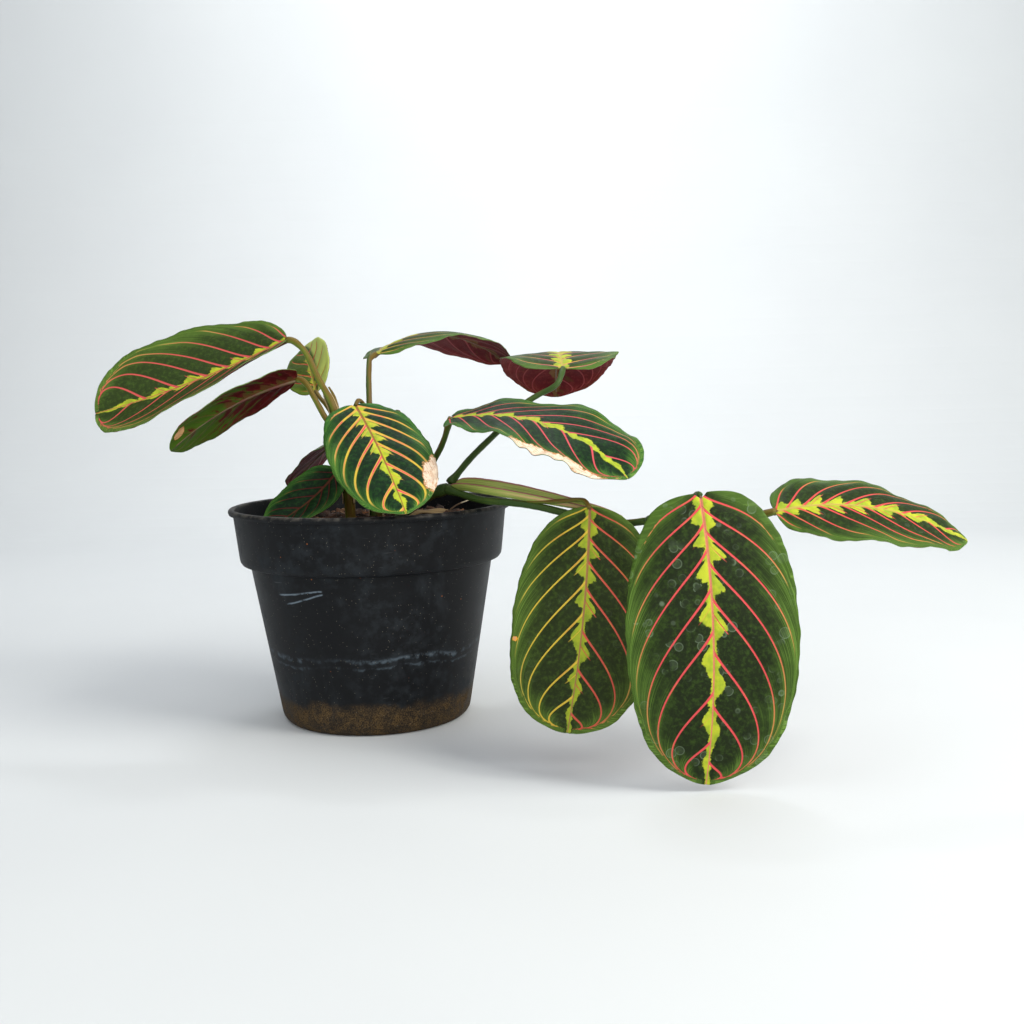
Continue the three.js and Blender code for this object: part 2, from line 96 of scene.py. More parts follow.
# Every leaf: its base, length and half widths (left, right) in millimetres, its bends in degrees and its bluntness
# at base and tip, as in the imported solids. Then its look: how many side veins, from rose (0) to amber (1), from pale
# to dark green (depth), more olive (warm) or bluer (below 0), the size and dullness of the lime lobes, the breadth of
# the veins and how much of them is rose (cores), the dried water marks (spots), the colours of veins and midrib, and
# dried patches as (across, along, half width, half length) in shares of the blade.
PLAIN_LEAF = dict(
    bluntness=(0.72, 0.85), taper=1, ripple=0.7, depth=0.9, warm=0, lime=0.8, dull=0.15, spots=0, broad=1, cores=0,
    olive=0, pale_side=False, dry=(), dry_tint=None,
)
LEAVES = [{**PLAIN_LEAF, **leaf} for leaf in (
    dict(
        name="leaf_upper_left", base=(-38.5, 0, 189.5), length=103, half=(33, 33), bluntness=(0.85, 0.68),
        heading=179, sweep=1, rise=-25, droop=-11, roll=15, twist=28, fold=(0, 27), curl=(22, -1), seed=3,
        veins=8.6, amber=-0.3, warm=0.1, lime=0.7, spots=0.1, broad=1.15, ink=0xCC5450, midrib=0xB4584A,
    ),
    dict(
        name="leaf_lower_left", base=(-33.3, -6, 169.8), length=71, half=(21, 21), ripple=0.5,
        heading=208, sweep=7, rise=-13, droop=27, roll=-19, twist=-9, fold=(21, -1), curl=(-38, -21), seed=5,
        veins=7.6, amber=0.3, depth=0.8, lime=0.9, olive=0.75, ink=0xB04A4A, midrib=0x8A3A34,
        dry=[(-0.5, 0.92, 0.26, 0.05)], dry_tint=0xB58C62,
    ),
    dict(
        name="leaf_young", base=(-26, 4, 163), length=46, half=(14.5, 14.5), bluntness=(0.8, 1.3), ripple=0.5,
        heading=112, sweep=-6, rise=41, droop=20, roll=33, twist=6, fold=(2, 10), curl=(0, 16), seed=7,
        veins=5.6, amber=0.1, depth=0.6, lime=0.25, pale_side=True, ink=0xB8323A, midrib=0xB0A048,
    ),
    dict(
        name="leaf_front", base=(-2.8, -20, 156.5), length=79, half=(24, 24), bluntness=(0.6, 0.9), ripple=0.8,
        heading=-62, sweep=-1, rise=-29, droop=14, roll=-6, twist=-6, fold=(0, 0), curl=(-4, -15), seed=11,
        veins=7.6, amber=0.85, cores=0.5, depth=1.0, warm=-0.25, spots=0.2, broad=1.7, ink=0xD8435A,
        midrib=0x8A5A30, dry=[(-1.0, 0.76, 0.36, 0.15)],
    ),
    dict(
        name="leaf_low_front", base=(-13, -16, 125), length=46, half=(14, 14), ripple=0.4,
        heading=-144, sweep=-3, rise=-49, droop=-32, roll=52, twist=-26, fold=(21, 10), curl=(5, -6), seed=13,
        veins=7.6, amber=-0.5, depth=1.0, warm=-0.25, lime=0.05, broad=0.75, ink=0x521E1A, midrib=0x5E2E22,
    ),
    dict(
        name="leaf_low_back", base=(10, 17, 150.4), length=79, half=(24, 24),
        heading=150, sweep=-1, rise=-10, droop=37, roll=12, twist=-2, fold=(-3, 0), curl=(-1, -1), seed=17,
        veins=8.2, amber=0.1, ink=0xB8404E, midrib=0xA04A40,
    ),
    dict(
        name="leaf_top", base=(1.5, 22, 181.3), length=91, half=(26, 25), bluntness=(0.55, 0.85),
        heading=51, sweep=-21, rise=32, droop=69, roll=3, twist=6, fold=(-15, -1), curl=(17, -21), seed=19,
        veins=8.4, amber=0.35, lime=1.0, spots=0.1, ink=0xB04E4A, midrib=0xC8B068,
    ),
    dict(
        name="leaf_arched", base=(97.9, 4, 171.6), length=98, half=(31, 32), bluntness=(0.6, 0.85),
        heading=94, sweep=-4, rise=29, droop=75, roll=-7, twist=3, fold=(-9, 3), curl=(-1, 1), seed=23,
        veins=8.4, amber=0.15, lime=1.1, spots=0.1, ink=0xC25068, midrib=0xB8A850,
    ),
    dict(
        name="leaf_dried_edge", base=(43.6, -30, 149.3), length=99, half=(29, 29), bluntness=(0.52, 0.8),
        heading=-17, sweep=-26, rise=9, droop=49, roll=-11, twist=-1, fold=(3, -1), curl=(-1, 1), seed=29,
        ripple=1.6, veins=8.6, amber=-0.2, depth=1.0, warm=-0.2, spots=0.15, ink=0xCB5058, midrib=0xA8B43E,
        dry=[(1.04, 0.64, 0.24, 0.17), (1.04, 0.85, 0.32, 0.15)],
    ),
    dict(
        name="leaf_hanging_inner", base=(107.8, -70, 109.8), length=101, half=(32, 32), bluntness=(0.85, 0.7),
        heading=-107, sweep=3, rise=-82, droop=-39, roll=-1, twist=4, fold=(-7, 2), curl=(1, -1), seed=31,
        veins=8.2, amber=0.9, amber_left=-0.1, depth=0.97, warm=0.25, dull=0.5, spots=0.15, ink=0xC65544,
        midrib=0x9A6A48, dry=[(0.93, 0.60, 0.045, 0.014)], dry_tint=0xE09A1C,
    ),
    dict(
        name="leaf_hanging_outer", base=(149.4, -128, 120.3), length=117, half=(34, 34), bluntness=(0.58, 0.78),
        heading=-71, sweep=1, rise=-70, droop=36, roll=-18, twist=3, fold=(0, -3), curl=(1, -13), seed=37,
        ripple=0.8, veins=8.2, amber=-0.15, depth=1.0, warm=0.2, lime=1.0, spots=1.0, ink=0xD94E50,
        midrib=0xD07562,
    ),
    dict(
        name="leaf_far_right", base=(180.5, -118, 111.4), length=82, half=(24, 23), bluntness=(0.7, 0.9),
        heading=9, sweep=-5, rise=11, droop=42, roll=-30, twist=11, fold=(5, -10), curl=(-17, 5), seed=41,
        ripple=1.0, veins=8.4, amber=-0.1, depth=0.97, warm=0.1, lime=1.0, spots=0.35, ink=0xD24E4C,
        midrib=0xB8A050,
    ),
)]

# The boat-shaped sheath round the runner's leaf stalk
SHEATH = dict(
    name="runner_sheath", base=(43, -26, 115.6), length=88, half=(7.8, 4.8), taper=0.62, bluntness=(1, 1),
    heading=-36, sweep=20, rise=-5, droop=4, roll=0, twist=0, fold=(40, 40), curl=(45, 45), ripple=0, seed=43,
)

# Soil surface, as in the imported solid
SOIL_TOP = 96.5
SOIL_MOUND = 2.2
SOIL_REACH = 55

# Stems, in millimetres. A foot stands straight in the soil, up to where its stem leans away. So many steps of the
# curve are worked out between two given points.
FOOT_DEPTH = 15
FOOT_BEND = 4
FOOT_RISE = 5
CURVE_STEPS = 24

# The swelling before a blade: its distance from the stem's end and its reach
SWELLING_PLACE = 3.5
SWELLING_REACH = 3.4

# The cord under the midrib, in millimetres: its least radius, how much more it has at the base, how deep it lies
# under the blade and where it starts. Its end is a share of the blade.
RIB_LEAST = 0.25
RIB_MORE = 0.65
RIB_SINK = 0.25
RIB_START = -0.4
RIB_END = 0.97
RIB_POINTS = 70

# Membranes round the stems: the length of a face and the gap to the stem in millimetres, the thickness in metres
WRAP_STEP = 1.2
WRAP_LIFT = 0.35
WRAP_THICKNESS = 0.00025


def foot(x, y):
    return [(x, y, SOIL_TOP - FOOT_DEPTH), (x, y, SOIL_TOP - FOOT_BEND), (x, y, SOIL_TOP + FOOT_RISE)]


def stem(points, start, end, swelling=0, knots=()):
    """A stem's points, its radius at each end, its swelling before the blade and its (place, size, length) knots.

    A leaf's name among the points stands for the end of its stalk."""
    return dict(points=points, start=start, end=end, swelling=swelling, knots=knots)


def wrap(points, radius, opening, point_share):
    """A membrane's points and radius, the angle it leaves open and the share of its length that narrows."""
    return dict(points=points, radius=radius, opening=opening, point_share=point_share)


# Every shoot: its looks as (material, how young, how aged), a list of stems for each look, and its membranes
SHOOTS = [
    dict(
        name="left_shoot", looks=[("left_stem", 0.5, 1.25)],
        stems=[[
            stem([
                *foot(-9, -8), (-9.5, -9.5, 118), (-11, -11.5, 134), (-13.4, -12, 148),
            ], 2.7, 2.5, knots=[(46, 0.5, 4)]),
            stem([
                (-12.6, -12, 145), (-15, -12, 156.6), (-22, -8, 168.9), (-28.2, -4, 181.3), (-31.6, -2, 185.6),
                (-35.5, -1, 188.6), "leaf_upper_left",
            ], 1.7, 1.45, swelling=0.18),
            stem([
                (-13, -12.5, 144), (-18.1, -12, 149.3), (-22, -11, 156.2), (-25, -10, 161.6), (-28, -8.5, 166.8),
                (-31, -7, 169.2), "leaf_lower_left",
            ], 1.5, 1.3, swelling=0.18),
            stem([(-13.5, -11, 148), (-19, -6, 156), (-23.5, -1, 160.5), "leaf_young"], 1.2, 1.0, swelling=0.12),
            stem([
                (-13, -10, 146), (-14, -7.5, 156), (-15.6, -7, 162), (-17.6, -7, 165.4),
            ], 1.3, 0.45, knots=[(6, 0.35, 8)]),
            stem([
                (-9.6, -9.5, 116), (-9.6, -11.5, 126), (-11, -13.8, 128.4), "leaf_low_front",
            ], 1.2, 1.1, swelling=0.12),
        ]],
        wraps=[
            wrap([
                (-9.3, -9.0, 108), (-9.6, -9.8, 118), (-11, -11.5, 134), (-13.6, -12.2, 150), (-14.6, -12, 157),
            ], 2.6, 110, point_share=0.45),
            wrap([(-12.8, -12, 146), (-15.4, -12, 156), (-20.6, -9, 166)], 1.7, 150, point_share=0.7),
        ],
    ),
    dict(
        name="middle_shoot", looks=[("middle_stem", 0.12, 1.1)],
        stems=[[
            stem([*foot(3, -1), (3, -1, 112), (2.5, -1, 124)], 3.3, 3.0, knots=[(38, 0.4, 3)]),
            stem([
                (2.6, -2, 118), (2.5, -6, 140), (0.5, -12, 156), (-1.6, -16.5, 158.6), "leaf_front",
            ], 1.45, 0.95, swelling=0.05),
            stem([
                (3, 0, 118), (8, 5, 134), (14, 10, 148), (13.5, 14.6, 151.6), "leaf_low_back",
            ], 1.4, 1.2, swelling=0.18),
            stem([
                (2.4, -0.5, 118), (1, 0, 143.6), (0.9, 2, 160), (0.4, 6, 168.4), (-0.1, 12, 174.9),
                (-0.3, 17.5, 179.4), "leaf_top",
            ], 1.6, 1.35, swelling=0.2),
            stem([
                (3.4, -1.5, 110), (8, -3, 114), (28.9, -10, 123.2), (36.4, -18, 132.3), (40.5, -24, 140.2),
                (42.6, -28.2, 146), "leaf_dried_edge",
            ], 1.6, 1.4, swelling=0.2),
        ]],
        wraps=[wrap([(3, -1, 100), (3, -1, 112), (2.5, -1.2, 124), (1.9, -1.4, 134)], 3.2, 120, point_share=0.6)],
    ),
    dict(
        name="runner", looks=[("runner_stem", 0.05, 0.35), ("runner_stalks", 0.35, 1.2)],
        stems=[[
            stem([
                *foot(16.5, -21.5), (20.5, -22, 104.6), (33.4, -24, 112.6), (41.5, -26, 116),
            ], 2.3, 2.2, knots=[(46, 0.9, 3)]),
            stem([
                (40.5, -25.8, 115.6), (56, -33.5, 110.9), (71.6, -42.5, 109.9), (82.8, -49, 108.8),
                (96.4, -56, 106.1), (112.5, -61, 103), (123.4, -66, 101.8), (133, -72, 103.3), (153.6, -92, 106),
                (166, -104.5, 107.6),
            ], 1.8, 1.6, knots=[(2, 1.0, 3), (118, 0.9, 3)]),
            stem([
                (42.4, -24.6, 118), (51.8, -18, 129.1), (63.4, -11, 140.1), (71.3, -6, 147.6), (78.8, -3, 155),
                (86.2, -3, 159.5), (92, -4.4, 162.2), (95, -4.6, 164.6), (96.6, -1.5, 168), "leaf_arched",
            ], 1.65, 1.35, swelling=0.12, knots=[(1, 0.8, 3)]),
            stem([
                (134, -73, 103.4), (139.3, -88, 107.5), (144.8, -107, 113.8), (148, -118.5, 118),
                (149, -124.6, 119.8), "leaf_hanging_outer",
            ], 1.7, 1.0, knots=[(1, 0.9, 3)]),
        ], [
            stem([
                (160, -98.5, 106.8), (172, -110.5, 108.6), (177, -115.8, 110.2), "leaf_far_right",
            ], 1.45, 1.3, swelling=0.2),
            stem([
                (80, -47.5, 110.8), (94.7, -57.5, 111.4), (101.8, -62.5, 112.4), (105.6, -66.4, 112.2),
                "leaf_hanging_inner",
            ], 1.1, 1.0, swelling=0.15),
        ]],
        wraps=[],
    ),
]

# Pot, in metres: (radius, height) at its base, where its wall starts, where the wall meets the band and at the band's
# lower edge, then its floor and drain holes. Water lines are (height, width, strength), and a scrape runs from one
# (x, z) place to another.
POT_BASE = (0.0449, 0.0004)
WALL_FOOT = (0.0476, 0.0048)
WALL_TOP = (0.0602, 0.0787)
BAND_FOOT = (0.0653, 0.0823)
POT_FLOOR = 0.0022
HOLES = 8
HOLE_RADIUS = 0.0035
HOLE_CIRCLE = 0.034
HOLE_DEPTH = 0.01
SHARP_ANGLE = 35
WATER_LINES = ((0.0385, 0.0017, 0.30), (0.0345, 0.0010, 0.20))
SCRAPES = (((-0.0385, 0.0690), (-0.0150, 0.0716)), ((-0.0345, 0.0648), (-0.0148, 0.0702)))

# Ground, in metres: its gap to the pot, and the heights and radii of the band that its edge follows. Then, in
# millimetres, how far from the edge its relief dies out, and how high its lumps and grains are.
SOIL_GAP = 0.0004
BAND_HEIGHTS = (0.0813, 0.104)
BAND_RADII = (0.0653, 0.0677)
GROUND_RINGS = 80
GROUND_STEPS = 200
GROUND_FADE = 2
LUMPS = 1.3
GRAINS = 0.8

# Bark chips and crumbs: how many shapes, how uneven they are and how much they tilt. Then, in millimetres, their
# least and greatest sizes and how far they lie from the middle, and how much of its height lifts a chip's middle.
CHIP_SHAPES = 6
CHIP_PULL = 0.13
CHIP_TILT = 0.35
CHIPS = dict(sizes=[(3.5, 11), (2.5, 5.5), (1.4, 3.2)], reach=58, lift=0.1)
CRUMBS = dict(sizes=[(0.9, 2.6), (0.9, 2.2), (0.7, 1.8)], reach=60, lift=0.35)

# Fibres, in millimetres: how far from the middle they start and stay, then the least and greatest of their sizes, and
# the radius of their ends
FIBRE_POINTS = 9
FIBRE_SPREAD = 52
FIBRE_REACH = 60
FIBRE_HALF_LENGTHS = (4, 11)
FIBRE_BENDS = (-4, 4)
FIBRE_LIFTS = (0.4, 1.6)
FIBRE_RADIUS = 0.09

# Floor, in metres: it reaches from in front of the pot to behind it, where it bends up
FLOOR_HALF_WIDTH = 3.5
FLOOR_FRONT = 2.2
FLOOR_LENGTH = 5.0
BEND_START = 0.7
BEND_RADIUS = 0.6

# Camera and light all round
SENSOR_WIDTH = 36
AMBIENT_COLOUR = 0xEAF0F2
AMBIENT_STRENGTH = 0.25

# Lamps: name, place, aim, size, power and colour
LAMPS = (
    ("key", (0.95, -0.45, 0.80), (0.07, -0.03, 0.11), 0.6, 14.0, 0xFFFCF4),
    ("fill", (-0.95, -0.60, 0.80), (0.07, -0.03, 0.11), 0.9, 3.0, 0xFAFAFF),
    ("front", (0.25, -1.30, 0.50), (0.07, -0.03, 0.08), 1.2, 8.0, 0xFFFEFA),
    ("wash", (0.10, -0.25, 1.80), (0.07, -0.03, 0.11), 2.2, 11.0, 0xFCFCFF),
    ("backdrop", (0.05, 0.50, 1.10), (0.10, 1.30, 0.40), 0.3, 6.5, 0xFFFFFF),
)


def linear(hexcode):
    """A colour written as 0xRRGGBB, as the linear RGBA that shaders take."""
    channels = [(hexcode >> shift & 255) / 255 for shift in (16, 8, 0)]
    return (*[c / 12.92 if c <= 0.04045 else ((c + 0.055) / 1.055) ** 2.4 for c in channels], 1.0)


def between(first, second, share):
    """The colour at a share of the way from the one written as 0xRRGGBB to the linear one."""
    return tuple((1 - share) * a + share * b for a, b in zip(linear(first), second))


def colour_property(name, description, hexcode):
    return FloatVectorProperty(
        name=name, description=description, subtype="COLOR", size=4, min=0, max=1, default=linear(hexcode),
    )


def length_property(name, description, metres):
    return FloatProperty(name=name, description=description, default=metres, unit="LENGTH")


def angle_property(name, description, degrees):
    return FloatProperty(name=name, description=description, default=math.radians(degrees), unit="ROTATION")


class BladeSettings(bpy.types.PropertyGroup):
    """Thickness, fineness and colours of the leaf blades."""

    thickness: length_property("Thickness", "Blade thickness beside the midrib", 0.0006)
    rows: IntProperty(name="Rows", description="Faces from base to tip of a 100 mm blade", default=150, min=20)
    columns: IntProperty(name="Columns", description="Faces from margin to margin", default=64, min=8)
    quilting: length_property("Quilting", "Height of the swelling between two veins", 0.00035)
    field_dark: colour_property("Field", "Dark green between the veins", 0x12220B)
    field_mid: colour_property("Outer field", "Green towards the margin", 0x3A5E1E)
    margin: colour_property("Margin", "Pale streaks at the margin", 0x789C42)
    lime: colour_property("Lobes", "Lime lobes along the midrib", 0xBFC730)
    amber: colour_property("Amber veins", "Vein edges on the older leaves", 0xCFB23E)
    underside: colour_property("Underside", "Maroon underside", 0x7C2222)
    underside_vein: colour_property("Underside veins", "Veins on the underside", 0x9A4446)
    dry: colour_property("Dry", "Dried cream patches", 0xEEDCC6)


class StemSettings(bpy.types.PropertyGroup):
    """Sides and colours of the stems."""

    sides: IntProperty(name="Sides", description="Faces round a stem", default=16, min=6)
    step: length_property("Step", "Length of a face along a stem", 0.0014)
    green: colour_property("Green", "Main colour of the stems", 0x2E4A22)
    brown: colour_property("Brown", "Sunned and older side", 0x664A22)
    pale: colour_property("Pale", "Light side of the leaf stalks", 0x93A238)


class PotSettings(bpy.types.PropertyGroup):
    """Sizes and colours of the nursery pot."""

    height: length_property("Height", "Height of the pot", 0.107)
    lip_radius: length_property("Lip radius", "Radius of the lip", 0.070)
    wall: length_property("Wall", "Thickness of the wall", 0.0013)
    steps: IntProperty(name="Steps", description="Faces round the pot", default=160, min=24)
    plastic: colour_property("Plastic", "Colour of the plastic", 0x0D0F12)
    dust: colour_property("Dust", "Dry film on the wall", 0x485056)
    stain: colour_property("Stain", "Soil stain at the foot", 0x5E4A2E)


class SoilSettings(bpy.types.PropertyGroup):
    """Pieces and colours of the potting soil."""

    chips: IntProperty(name="Chips", description="Number of bark chips", default=330, min=0)
    crumbs: IntProperty(name="Crumbs", description="Number of small crumbs", default=900, min=0)
    fibres: IntProperty(name="Fibres", description="Number of coir fibres", default=90, min=0)
    dark: colour_property("Dark", "Damp soil", 0x1D130E)
    light: colour_property("Light", "Dry crumbs", 0x5A4030)


class StageSettings(bpy.types.PropertyGroup):
    """Camera and studio."""

    camera: FloatVectorProperty(
        name="Camera", description="Where the camera stands", default=(0.0915, -0.613, 0.165), unit="LENGTH",
    )
    pitch: angle_property("Pitch", "Downward tilt", 5.96)
    yaw: angle_property("Yaw", "Turn to the left", 1.92)
    roll: angle_property("Roll", "Roll of the view", -1.37)
    lens: FloatProperty(name="Lens", description="Focal length in millimetres", default=43.3)
    floor: colour_property("Floor", "Pale floor", 0xDADEE0)


class PlantSettings(bpy.types.PropertyGroup):
    """All settings of the plant."""

    blade: PointerProperty(type=BladeSettings, name="Blades", description="Leaf blades")
    stem: PointerProperty(type=StemSettings, name="Stems", description="Stems and stalks")
    pot: PointerProperty(type=PotSettings, name="Pot", description="Nursery pot")
    soil: PointerProperty(type=SoilSettings, name="Soil", description="Potting soil")
    stage: PointerProperty(type=StageSettings, name="Stage", description="Camera and studio")


def settings():
    return bpy.context.scene.prayer_plant


class Wire:
    """A shader node's output, with which sums are written as with a number."""

    def __init__(self, graph, socket):
        self.graph = graph
        self.socket = socket

    def __add__(self, other):
        return self.graph.math("ADD", self, other)

    def __sub__(self, other):
        return self.graph.math("SUBTRACT", self, other)

    def __rsub__(self, other):
        return self.graph.math("SUBTRACT", other, self)

    def __mul__(self, other):
        return self.graph.math("MULTIPLY", self, other)

    def __truediv__(self, other):
        return self.graph.math("DIVIDE", self, other)

    def __abs__(self):
        return self.graph.math("ABSOLUTE", self)

    def rise(self, low, high):
        """0 where the value is at low, 1 where it is at high, and a smooth step between."""
        inputs = {"Value": self, "From Min": low, "From Max": high}
        return self.graph.run("ShaderNodeMapRange", inputs, "Result", interpolation_type="SMOOTHSTEP")


class Graph:
    """Short calls for laying out shader nodes."""

    def __init__(self, tree, material=None):
        self.tree = tree
        self.material = material

    def run(self, kind, inputs, output=0, **options):
        """A new node's output. Inputs maps its sockets to wires or values, which for colours may be 0xRRGGBB."""
        node = self.tree.nodes.new(kind)
        for name, value in options.items():
            setattr(node, name, value)
        for name, value in inputs.items():
            socket = node.inputs[name]
            if isinstance(value, Wire):
                self.tree.links.new(value.socket, socket)
            elif socket.type == "RGBA" and isinstance(value, int):
                socket.default_value = linear(value)
            else:
                socket.default_value = value
        return Wire(self, node.outputs[output])

    def math(self, operation, *values):
        return self.run("ShaderNodeMath", dict(enumerate(values)), operation=operation)

    def mix(self, share, first, second):
        return self.run("ShaderNodeMix", {0: share, 6: first, 7: second}, 2, data_type="RGBA")

    def coats(self, colour, *coats):
        """A colour under coats given as (share, colour), the first the lowest."""
        for share, coat in coats:
            colour = self.mix(share, colour, coat)
        return colour

    def blend(self, share, first, second):
        return self.run("ShaderNodeMix", {0: share, 2: first, 3: second}, data_type="FLOAT")

    def ramp(self, share, stops):
        """A value or a colour that runs through the given (place, value or 0xRRGGBB) stops."""
        wire = self.run("ShaderNodeValToRGB", {0: share})
        elements = wire.socket.node.color_ramp.elements
        while len(elements) < len(stops):
            elements.new(0.5)
        for element, (place, value) in zip(elements, stops):
            element.position = place
            element.color = linear(value) if isinstance(value, int) else (value, value, value, 1.0)
        return wire

    def split(self, vector):
        wire = self.run("ShaderNodeSeparateXYZ", {0: vector})
        return [Wire(self, socket) for socket in wire.socket.node.outputs]

    def uv(self, name):
        return self.split(self.run("ShaderNodeUVMap", {}, uv_map=name))[:2]

    def place(self):
        return self.run("ShaderNodeTexCoord", {}, "Object")

    def vector(self, *values):
        return self.run("ShaderNodeCombineXYZ", dict(enumerate(values)))

    def noise(self, vector, scale=1.0, detail=2.0, roughness=0.5):
        inputs = {"Vector": vector, "Scale": scale, "Detail": detail, "Roughness": roughness}
        return self.run("ShaderNodeTexNoise", inputs)

    def cells(self, vector, scale):
        """The distance to the nearest of many scattered points, and a chance value of that point's own."""
        distance = self.run("ShaderNodeTexVoronoi", {"Vector": vector, "Scale": scale})
        return distance, Wire(self, distance.socket.node.outputs["Color"])

    def lines(self, across, along, detail=3.0):
        """Fine lines along a stem, so many across and along it, after the two coordinates of its map."""
        around, lengthwise = self.uv("Stem")
        return around, lengthwise, self.noise(self.vector(around * across, lengthwise * along, 0.0), detail=detail)

    def surface(self, colour, roughness, bump=None, specular=0.5, ior=1.5):
        """Ends the material with a shader, whose bump is (height, distance, strength), and returns the material."""
        inputs = {"Base Color": colour, "Roughness": roughness, "Specular IOR Level": specular, "IOR": ior}
        if bump:
            inputs["Normal"] = self.run("ShaderNodeBump", dict(zip(("Height", "Distance", "Strength"), bump)))
        shader = self.run("ShaderNodeBsdfPrincipled", inputs)
        output = self.tree.nodes.new("ShaderNodeOutputMaterial")
        self.tree.links.new(shader.socket, output.inputs["Surface"])
        return self.material


def material_graph(name):
    """The empty graph of a new material."""
    material = bpy.data.materials.new(name)
    material.use_nodes = True
    material.node_tree.nodes.clear()
    return Graph(material.node_tree, material)


def finish_piece(name, mesh, materials, slot, *nodes):
    """Links a mesh as a piece of the plant, riding on the part and standing for its solids."""
    piece = bpy.data.objects.new(name, mesh)
    bpy.context.scene.collection.objects.link(piece)
    for material in materials:
        mesh.materials.append(material)
    mesh.shade_smooth()
    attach(piece, "root")
    if nodes:
        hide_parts(*nodes)
    return piece


def joined_mesh(name, parts):
    """One mesh from several (mesh, material index or None) parts, which are removed."""
    whole = bmesh.new()
    for part, material_index in parts:
        start = len(whole.faces)
        whole.from_mesh(part)
        if material_index is not None:
            whole.faces.ensure_lookup_table()
            for face in whole.faces[start:]:
                face.material_index = material_index
        bpy.data.meshes.remove(part)
    return mesh_of(whole, name)


def mesh_of(shape, name):
    """The mesh of a bmesh, which is freed."""
    mesh = bpy.data.meshes.new(name)
    shape.to_mesh(mesh)
    shape.free()
    return mesh


def modified_mesh(mesh, add_modifiers):
    """The mesh with the modifiers on it that the call puts on its object."""
    carrier = bpy.data.objects.new("blank", mesh)
    bpy.context.scene.collection.objects.link(carrier)
    add_modifiers(carrier)
    evaluated = carrier.evaluated_get(bpy.context.evaluated_depsgraph_get())
    result = bpy.data.meshes.new_from_object(evaluated)
    bpy.data.objects.remove(carrier)
    bpy.data.meshes.remove(mesh)
    return result


def places_of(mesh):
    """The places of a mesh's vertices."""
    places = np.empty(len(mesh.vertices) * 3, np.float32)
    mesh.vertices.foreach_get("co", places)
    return places.reshape(-1, 3).astype(float)


def set_places(mesh, points):
    mesh.vertices.foreach_set("co", np.ascontiguousarray(points, np.float32).ravel())
    mesh.update()


def vertex_normals(mesh):
    normals = np.empty(len(mesh.vertices) * 3, np.float32)
    mesh.vertex_normals.foreach_get("vector", normals)
    return normals.reshape(-1, 3).astype(float)


def loop_corners(mesh):
    """The vertex of each face corner."""
    corners = np.empty(len(mesh.loops), np.int32)
    mesh.loops.foreach_get("vertex_index", corners)
    return corners


def add_uv(mesh, name, first, second):
    layer = mesh.uv_layers.new(name=name)
    layer.data.foreach_set("uv", np.stack([first, second], -1).astype(np.float32).ravel())


def add_stem_uv(mesh, column, along):
    """The map that stem colours follow: the share of the way round (or across) and the place along."""
    corners = loop_corners(mesh)
    add_uv(mesh, "Stem", (0.5 + 0.5 * column)[corners], along[corners])


def grid_mesh(name, rows, columns):
    """A flat grid from -1 to 1, with its vertices' columns and rows (0 to 1)."""
    sheet = bmesh.new()
    bmesh.ops.create_grid(sheet, x_segments=columns, y_segments=rows, size=1)
    mesh = mesh_of(sheet, name)
    places = places_of(mesh)
    return mesh, places[:, 0], (places[:, 1] + 1) / 2


def unit(vectors):
    return vectors / np.linalg.norm(vectors, axis=-1, keepdims=True)


def blade_axes(leaf, t):
    """A blade's own directions at shares t of its midrib: along, across to its right, and up."""
    heading = np.radians(leaf["heading"] + leaf["sweep"] * t)
    rise = np.radians(leaf["rise"] - leaf["droop"] * t)
    roll = np.radians(leaf["roll"] + leaf["twist"] * t)
    along = np.stack([np.cos(rise) * np.cos(heading), np.cos(rise) * np.sin(heading), np.sin(rise)], -1)
    side = np.stack([np.sin(heading), -np.cos(heading), np.zeros_like(heading)], -1)
    across = np.cos(roll)[..., None] * side + np.sin(roll)[..., None] * np.cross(side, along)
    return along, across, np.cross(across, along)


def midrib_line(leaf, t):
    """Points of the midrib, which bends evenly from base to tip, in millimetres."""
    middles = MIDRIB_REACH * (np.arange(MIDRIB_STEPS) + 0.5) / MIDRIB_STEPS
    along, _, _ = blade_axes(leaf, middles)
    steps = np.cumsum(along, 0) * leaf["length"] * MIDRIB_REACH / MIDRIB_STEPS
    points = np.vstack([np.zeros(3), steps]) + np.array(leaf["base"], float)
    stations = np.linspace(0, MIDRIB_REACH, MIDRIB_STEPS + 1)
    return np.stack([np.interp(t, stations, points[:, k]) for k in range(3)], -1)


def bluntness(leaf, row):
    """The power that makes an ellipse's base and tip broader."""
    base, tip = leaf["bluntness"]
    return base + (tip - base) * row


def half_width(leaf, t, on_left, blunt=True):
    """Half width in millimetres at shares t of the length, of the blade or of the plain ellipse in it."""
    inside = np.clip(t, 0.0005, 0.9995)
    oval = 2 * np.sqrt(inside * (1 - inside))
    if blunt:
        oval = oval ** bluntness(leaf, np.arccos(1 - 2 * inside) / np.pi)
    return np.where(on_left, *leaf["half"]) * oval


def margin_wander(leaf, row, on_left, out):
    """The outline's small unevenness, as a factor of the half width."""
    turn = leaf["seed"] * 1.7 + 2.1 * on_left
    slow = 0.010 * np.sin(2 * np.pi * 2.7 * row + turn)
    quick = 0.006 * np.sin(2 * np.pi * 9.3 * row + 2 * turn) + 0.004 * np.sin(2 * np.pi * 23 * row + 3 * turn)
    return 1 + slow + quick * out**3


